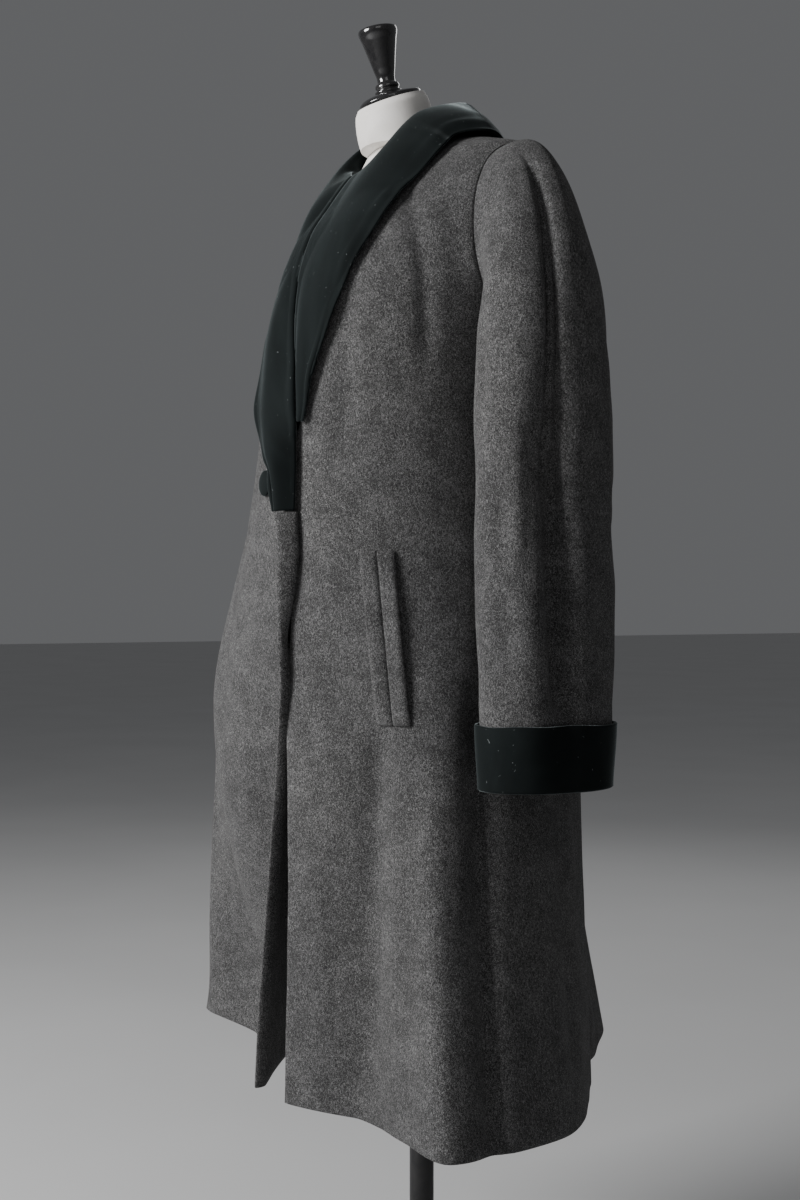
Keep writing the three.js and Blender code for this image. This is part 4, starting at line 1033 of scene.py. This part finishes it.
@dataclass
class Sleeve:
    """A set-in sleeve with its long fold, and its turned-back velvet cuff.

    Args:
        side: which arm.
        turns: columns round the sleeve.
        tube_rows: rows below the armhole.
        head_rows: rows from there up to the armhole seam.
        swing: how far the right sleeve is swung out at its end.
    """

    side: Side
    turns: int = 196
    tube_rows: int = 120
    head_rows: int = 46
    swing: float = 12.0
    cuff_low: float = 695.0
    cuff_high: float = 761.0

    def tube(self, turn: Array, z: Array, out: Array | float = 0.0) -> Array:
        """Points of the tube: an ellipse at each height, drawn in along the long fold and out just beside it."""
        gap = np.mod(turn - SLEEVE.at("fold", z) + 180, 360) - 180
        depth = SLEEVE.at("depth", z)
        inset = depth * bump(gap, 13) - 0.35 * depth * bump(gap - 30, 14)
        angle = np.radians(turn)
        x = SLEEVE.at("x", z) + (SLEEVE.at("half_x", z) - inset + out) * np.cos(angle)
        y = SLEEVE.at("y", z) - (SLEEVE.at("half_y", z) - inset + out) * np.sin(angle)
        return np.stack([x, y, np.broadcast_to(z, x.shape)], axis=-1)

    def head(self, turn: Array, t: Array) -> Array:
        """Points of the head: a cubic from the armhole, going out, to the tube's top, coming down."""
        middle, half = (ARMHOLE_LOW + ARMHOLE_HIGH) / 2, (ARMHOLE_HIGH - ARMHOLE_LOW) / 2
        angle = np.radians(turn)
        z = middle + (half - WOOL) * np.cos(angle)
        across = np.sin(angle) * (ARMHOLE_WIDTH - 0.5)
        start = BODY.on(SIDE_HIGH - across, z)
        end = self.tube(turn, SLEEVE.column("z")[-1])
        reach = np.linalg.norm(end - start, axis=-1, keepdims=True)
        push = 0.95 - 0.38 * np.maximum(0, -np.sin(angle))
        outward = np.stack([push, np.zeros(turn.shape), 0.12 * push * np.cos(angle)], -1) * reach
        down = np.array([0.0, 0.0, -1.0]) * reach * 1.15
        return (
            start * (1 + 2 * t) * (1 - t) ** 2
            + outward * t * (1 - t) ** 2
            + end * t**2 * (3 - 2 * t)
            - down * t**2 * (1 - t)
        )

    def placed(self, grid: Array) -> Array:
        """The left sleeve's grid, or for the right one its mirror image, swung out over the skirt."""
        grid = grid[:, ::-1]
        if self.side is Side.LEFT:
            return grid
        grid = mirrored(grid)
        move = -self.swing * smooth((ARMHOLE_LOW - grid[..., 2]) / 400)
        return grid + np.stack([move, 0 * move, 0 * move], axis=-1)

    def around(self) -> Array:
        """The columns' angles, closer together by the long fold: s minus 0.45 times the sine of s minus 20."""
        even = np.arange(self.turns) * 360.0 / self.turns
        return even - np.degrees(0.45) * np.sin(np.radians(even - 20))

    def cloth(self) -> Array:
        """The sleeve's grid from the cuff up to the armhole, with its creases pressed in along its normals."""
        turn = self.around()
        lowest, top = SLEEVE.column("z")[0], SLEEVE.column("z")[-1]
        z = np.linspace(lowest, top, self.tube_rows, endpoint=False)
        tube = self.tube(turn[None, :], z[:, None])
        t = np.linspace(1, 0, self.head_rows + 1)[:, None, None]
        grid = np.concatenate([tube, self.head(turn[None, :], t)])
        signed = np.mod(turn + 180, 360) - 180
        height = grid[..., 2]
        rows = len(grid)
        fade = smooth((height - self.cuff_high) / 30) * smooth((rows - 1 - np.arange(rows)) / 12)[:, None]
        inset = inset_of(SLEEVE_CREASES, np.broadcast_to(signed, height.shape), height, 1.15) * fade
        wave = 0.5 * np.sin(0.034 * height + 0.09 * signed) + 0.4 * np.sin(0.061 * height - 0.05 * signed + 2)
        inward = grid_normals(grid, True)
        return grid + inward * (inset + wave * fade)[..., None]

    def cuff(self) -> Array:
        """The cuff's grid: the tube's ellipse, standing a little further off towards its free top edge."""
        turn = self.around()
        z = np.linspace(self.cuff_low, self.cuff_high, 30)[:, None]
        part = (z - self.cuff_low) / (self.cuff_high - self.cuff_low)
        uneven = 0.5 * np.sin(np.radians(3 * turn + 40)) + 0.35 * np.sin(np.radians(7 * turn + 110))
        out = WOOL + 0.7 + 1.8 * smooth(part * 1.15) + 0.6 * part * (uneven + 0.85)
        grid = self.tube(turn[None, :], z, out)
        grid[..., 2] += 1.3 * (uneven - 0.2) * part
        return grid

    def build(self, wardrobe: Wardrobe) -> None:
        """Builds and dresses the sleeve and its cuff."""
        label = self.side.label
        made = shell(f"sleeve_{label}_cloth", self.placed(self.cloth()), WOOL, closed=True)
        piece = wardrobe.dress(made, wardrobe.wool, f"sleeve_{label}")
        made = shell(f"cuff_{label}_velvet", self.placed(self.cuff()), VELVET, closed=True)
        cuff = wardrobe.dress(made, wardrobe.velvet, f"cuff_{label}")


@dataclass
class Collar:
    """One half of the shawl collar, from the centre back to the lapel's end.

    Args:
        side: which half.
        stations: cross-sections along it.
        columns: points across each.
        clearance: room between the cloth below and this one.
        edge_ridge: height of the soft ridge along the outer edge.
        edge_lift: how far the outer edge stands off further.
    """

    side: Side
    stations: int = 190
    columns: int = 52
    clearance: float = 3.4
    edge_ridge: float = 1.8
    edge_lift: float = 3.5

    def raised(self, angle: Array, z: Array) -> Array:
        """How far the front under this half lies off the body surface."""
        return overlap_out(angle, z) if self.side is Side.RIGHT else np.zeros(np.shape(z))

    def root(self, given: Array, z: Array) -> Array:
        """The angle of the seam: the given one at the back, then the neckline, then the line where they meet."""
        sign = self.side.value
        on_neckline = sign * (NECKLINE.at("angle", z) - 4.4)
        below = LINES.at("meet", z) + sign * 1.1
        return np.where(z > NECK_TOP, sign * given, np.where(z > NECK_PIT, on_neckline, below))

    def cleared(self, points: Array) -> Array:
        """The points, moved out in small steps wherever they are too close to the cloth below."""
        sign = self.side.value
        points = points.copy()
        gap = WOOL + self.clearance
        angle = np.degrees(np.arctan2(points[..., 0], -points[..., 1]))
        z = points[..., 2]
        over = np.where(
            z > NECK_PIT, np.abs(angle) > NECKLINE.at("angle", z) + 1, sign * (angle - LINES.at("meet", z)) > 1.6
        )
        over &= z <= NECK_TOP
        over[:, 0] = False
        lift = gap + np.maximum(0, self.raised(angle, z))
        normal = BODY.normal(angle, z)
        for _ in range(60):
            probe = points - normal * lift[..., None]
            at = np.degrees(np.arctan2(probe[..., 0], -probe[..., 1]))
            inside = np.hypot(probe[..., 0], probe[..., 1]) < BODY.smooth_radius(at, probe[..., 2])
            moving = inside & over
            if not moving.any():
                break
            points += normal * np.where(moving, 0.4, 0.0)[..., None]
        return points

    def grid(self) -> Array:
        """The half's points.

        Each cross-section is a smooth curve through the root, the top of the roll, a middle point and the outer
        edge, read at evenly spaced parts of its length.

        Returns:
            Stations by columns by 3 points, from the centre back on, root first.
        """
        table = COLLARS[self.side]
        sign = self.side.value
        k = np.linspace(0, len(table.rows) - 1, self.stations)
        read = {name: table.at(name, k) for name in COLLAR_COLUMNS.split()}
        root_at = self.root(read["root"], read["root_z"])
        base = WOOL + 3 * SEAM
        root_out = mix(base, 2 * SEAM, smooth((read["root_z"] - NECK_PIT - 10) / 18))
        root = BODY.on(root_at, read["root_z"], root_out + self.raised(root_at, read["root_z"]))
        roll = np.stack([sign * read["roll_x"], read["roll_y"], read["roll_z"]], axis=-1)
        edge_at = sign * read["edge"]
        edge = BODY.on(edge_at, read["edge_z"], base + read["lift"] + self.raised(edge_at, read["edge_z"]))
        outward = BODY.normal(mix(edge_at, root_at, 0.3), mix(read["edge_z"], read["root_z"], 0.3))
        width = np.linalg.norm(roll - edge, axis=-1, keepdims=True)
        fullness = 0.1 if self.side is Side.LEFT else 0.05
        middle = mix(roll, edge, 0.55) + outward * fullness * width
        points = self.cleared(self.sections(np.stack([root, roll, middle, edge], axis=1)))
        part = np.linspace(0, 1, self.columns)[None, :]
        ripple = 0.8 + 0.3 * np.sin(k * 2.3 + 0.6) + 0.2 * np.sin(k * 5.1)
        lift = ripple[:, None] * (self.edge_ridge * bump(part - 0.87, 0.06) + self.edge_lift * smooth(part * 2.5 - 1.5))
        return points + outward[:, None] * lift[..., None]

    def sections(self, control: Array) -> Array:
        """Smooth curves through four points each, read at even parts: centripetal Catmull-Rom with mirrored ends."""
        first = 2 * control[:, :1] - control[:, 1:2]
        last = 2 * control[:, -1:] - control[:, -2:-1]
        points = np.concatenate([first, control, last], axis=1)
        gaps = np.maximum(np.linalg.norm(np.diff(points, axis=1), axis=2) ** 0.5, 1e-3)
        times = np.concatenate([np.zeros((len(points), 1)), np.cumsum(gaps, axis=1)], axis=1)
        part = np.linspace(0, 1, self.columns) * 3
        span = np.minimum(part.astype(int), 2)
        local = part - span
        p = [points[:, span + i] for i in range(4)]
        t = [times[:, span + i][..., None] for i in range(4)]
        now = mix(t[1], t[2], local[None, :, None])
        a = [p[i] * (t[i + 1] - now) / (t[i + 1] - t[i]) + p[i + 1] * (now - t[i]) / (t[i + 1] - t[i])
             for i in range(3)]
        b = [a[i] * (t[i + 2] - now) / (t[i + 2] - t[i]) + a[i + 1] * (now - t[i]) / (t[i + 2] - t[i])
             for i in range(2)]
        return b[0] * (t[2] - now) / (t[2] - t[1]) + b[1] * (now - t[1]) / (t[2] - t[1])

    def build(self, wardrobe: Wardrobe) -> None:
        """Builds and dresses it."""
        label = self.side.label
        grid = self.grid()[::-1]
        if self.side is Side.RIGHT:
            grid = grid[:, ::-1]
        grid[-1, :, 0] = self.side.value * SEAM / 2
        made = shell(f"collar_{label}_velvet", grid, VELVET)
        piece = wardrobe.dress(made, wardrobe.velvet, f"collar_{label}")


@dataclass
class Pocket:
    """One pocket's two slanted welt strips.

    Args:
        side: which front it is on.
    """

    side: Side
    top: tuple[float, float] = (943.0, 44.5)
    bottom: tuple[float, float] = (756.0, 50.5)
    strip_width: float = 18.5
    right_further: float = 17.0
    rows: int = 110
    columns: int = 22

    def strip(self, is_front: bool) -> Array:
        """One strip's grid, made from the front's own points, moved out. Its back edge gapes at mid-height."""
        sign = self.side.value
        z = np.linspace(self.bottom[0], self.top[0], self.rows)[:, None]
        part = (z - self.bottom[0]) / (self.top[0] - self.bottom[0])
        further = 0.0 if self.side is Side.LEFT else self.right_further
        line = further + mix(self.bottom[1], self.top[1], part)
        across = np.linspace(0, 1, self.columns)[None, :]
        step = across if self.side is Side.LEFT else 1 - across
        wide = np.degrees(self.strip_width / BODY.smooth_radius(sign * line, z))
        low, high = (-wide, -0.3) if is_front else (0.3, wide)
        angle = sign * (line + mix(low, high, step))
        crown = 2.4 * (1 - (2 * across - 1) ** 4) * (1 - (2 * part - 1) ** 40)
        gape = 0 * part if is_front else 4.5 * np.sin(np.pi * part) ** 0.7
        return BODY.on(angle, z + 0 * across, WOOL + 0.9 + crown + gape * smooth(step * 1.3 - 0.3))

    def build(self, wardrobe: Wardrobe) -> None:
        """Builds and dresses both strips. The right ones lie on a steep stretch, which makes them wider."""
        label = self.side.label
        for name, is_front in (("front", True), ("back", False)):
            made = shell(f"welt_{name}_{label}_cloth", self.strip(is_front), WOOL - 0.3)
            piece = wardrobe.dress(made, wardrobe.wool, f"welt_{name}_{label}")


@dataclass
class DressForm:
    """The limbless form that the coat hangs on, its neck with cap and knob, the pole and the foot."""

    columns: int = 128

    def torso(self, wardrobe: Wardrobe) -> None:
        """The torso: rounded sections, kept just inside the coat where it hangs on the shoulders."""
        z = np.concatenate([np.linspace(770, 1340, 80), np.linspace(1344, 1425, 46)])
        angle = np.arange(self.columns) * 360.0 / self.columns - 180
        own = Body.section(FORM, angle[None, :], z[:, None], 2.1)
        inset = 2.9 + 4.5 * smooth((z[:, None] - 1396) / 14)
        smooth_at = BODY.point(angle[None, :], z[:, None], False)
        inside = smooth_at - BODY.normal(angle[None, :], z[:, None]) * inset[..., None]
        limit = np.hypot(inside[..., 0], inside[..., 1]) - 2 * smooth((1380 - z[:, None]) / 60)
        r = np.minimum(own, limit)
        turn = np.radians(angle)[None, :]
        rings = np.stack([r * np.sin(turn), -r * np.cos(turn), np.broadcast_to(z[:, None], r.shape)], -1)
        made = lofted("torso_cover", rings, np.array([(0, 0, z[0]), (0, 0, z[-1])], float), 50)
        wardrobe.dress(made, wardrobe.cover, "form_torso")

    def leaning(self, name: str, table: Table, z: Array) -> bpy.types.Object:
        """A solid through round sections that lean forwards, read from a table at heights."""
        angle = np.radians(np.arange(self.columns) * 360.0 / self.columns - 180)[None, :]
        tilt = np.radians(table.at("tilt", z))[:, None]
        radius = table.at("radius", z)[:, None]
        x = radius * np.sin(angle)
        y = table.at("y", z)[:, None] - radius * np.cos(angle) * np.cos(tilt)
        height = z[:, None] - radius * np.cos(angle) * np.sin(tilt)
        rings = np.stack([x, y, height], axis=-1)
        return lofted(name, rings, np.stack([rings[0].mean(axis=0), rings[-1].mean(axis=0)]), 50)

    def neck(self, wardrobe: Wardrobe) -> None:
        """The neck, its lacquered cap and the turned knob, which leans less than the cap's underside."""
        z = np.concatenate([np.linspace(1425.3, 1474, 30), mix(1474, 1482, np.linspace(0.08, 1, 12))])
        wardrobe.dress(self.leaning("neck_cover", NECK, z), wardrobe.cover, "form_neck")
        cap = self.leaning("neck_cap_turned", CAP, np.linspace(1482.3, 1490.1, 26))
        wardrobe.dress(cap, wardrobe.lacquer, "neck_cap")
        tilt = math.radians(12)
        axis = np.array([0.0, -math.sin(tilt), math.cos(tilt)])
        height = np.linspace(0, 77, 140)
        profile = np.concatenate([np.stack([KNOB.at("radius", height), height], 1), [(17, 77.6), (9, 78.0)]])
        made = revolved("neck_knob_turned", profile, np.array([0.0, -45.5, 1490.1]) + axis * SEAM, axis)
        wardrobe.dress(made, wardrobe.lacquer, "neck_knob")

    def stand(self, wardrobe: Wardrobe) -> None:
        """The pole and the round weighted foot."""
        low, high = 24 + SEAM, 770 - SEAM
        profile = np.array([(13.9, low), (14.5, low + 0.6), (14.5, 400), (14.5, high - 0.6), (13.9, high)])
        made = revolved("pole_tube", profile, (0, 0, 0), (0, 0, 1))
        wardrobe.dress(made, wardrobe.metal, "pole")
        radius = np.linspace(195, 60, 40)
        slope = np.stack([radius, 10 + 5 * ((195 - radius) / 135) ** 1.1], axis=1)
        hub = np.array([(50, 15.6), (42, 16.8), (34, 18.6), (29.5, 20.6), (28, 22.6), (27.2, 23.8), (20, 24)])
        rim = np.array([(198.5, 0), (199.6, 0.5), (200, 1.6), (200, 5.6), (199.5, 7.4), (198, 9)])
        made = revolved("foot_disc", np.concatenate([rim, slope, hub]), (0, 0, 0), (0, 0, 1), 160)
        wardrobe.dress(made, wardrobe.metal, "foot")

    def build(self, wardrobe: Wardrobe) -> None:
        """Builds and dresses all of it."""
        self.torso(wardrobe)
        self.neck(wardrobe)
        self.stand(wardrobe)


@dataclass
class Studio:
    """The floor, the light and the camera.

    Args:
        azimuth: the camera's angle round the object, in degrees from the front towards the wearer's left.
        distance: from the pole's axis to the camera, in metres.
        height: the camera's height, in metres.
        shift: how far the camera stands to its left, in metres.
    """

    azimuth: float = 60.0
    distance: float = 1.9
    height: float = 0.891
    shift: float = 0.026

    def camera(self) -> None:
        """A level camera with the photograph's framing."""
        turn = math.radians(self.azimuth)
        back = np.array([math.sin(turn), -math.cos(turn), 0.0])
        right = np.array([math.cos(turn), math.sin(turn), 0.0])
        data = bpy.data.cameras.new("camera")
        data.lens = 47.5
        data.sensor_width = 36
        data.clip_end = 60
        made = bpy.data.objects.new("camera", data)
        made.location = back * self.distance - right * self.shift + np.array([0, 0, self.height])
        made.rotation_euler = (math.pi / 2, 0, turn)
        bpy.context.scene.collection.objects.link(made)
        bpy.context.scene.camera = made

    def lamp(self, name: str, place: tuple[float, float, float], size: float, watts: float) -> None:
        """A square soft light that looks at the coat's chest."""
        data = bpy.data.lights.new(name, "AREA")
        data.size = size
        data.energy = watts
        made = bpy.data.objects.new(name, data)
        made.location = place
        aim = np.array([0.0, 0.0, 0.95]) - np.array(place)
        flat = math.hypot(aim[0], aim[1])
        made.rotation_euler = (math.atan2(flat, -aim[2]), 0, math.atan2(aim[0], -aim[1]) + math.pi)
        bpy.context.scene.collection.objects.link(made)

    def floor(self) -> None:
        """A wide pale floor, and pale light all round."""
        mesh = bpy.data.meshes.new("floor")
        reach = 30.0
        mesh.from_pydata([(-reach, -reach, 0), (reach, -reach, 0), (reach, reach, 0), (-reach, reach, 0)], [],
                         [(0, 1, 2, 3)])
        made = bpy.data.objects.new("floor", mesh)
        bpy.context.scene.collection.objects.link(made)
        nodes = Nodes("floor_pale")
        tint = nodes.noise(1.5, 3, 0.5)
        nodes.colour(nodes.ramp(tint, ((0.3, (0.60, 0.60, 0.60)), (0.7, (0.63, 0.63, 0.63)))))
        nodes.set(Roughness=0.9, Specular_IOR_Level=0.2)
        mesh.materials.append(nodes.material)
        world = bpy.data.worlds.new("studio")
        world.use_nodes = True
        world.node_tree.nodes["Background"].inputs["Color"].default_value = (0.62, 0.63, 0.65, 1)
        world.node_tree.nodes["Background"].inputs["Strength"].default_value = 0.2
        bpy.context.scene.world = world

    def build(self) -> None:
        """Sets all of it up."""
        self.camera()
        self.floor()
        self.lamp("key", (-0.35, -3.0, 1.9), 1.3, 175)
        self.lamp("side", (3.2, -1.6, 2.4), 1.8, 9)
        self.lamp("behind", (-2.2, 2.4, 2.6), 1.6, 14)


def main() -> None:
    """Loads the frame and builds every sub-assembly."""
    logging.basicConfig(level=logging.INFO, format="%(message)s")
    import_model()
    Studio().build()
    wardrobe = Wardrobe()
    Fronts().build(wardrobe)
    for side in Side:
        Back(side).build(wardrobe)
        Sleeve(side).build(wardrobe)
        Collar(side).build(wardrobe)
        Pocket(side).build(wardrobe)
    DressForm().build(wardrobe)


if __name__ == "__main__":
    main()
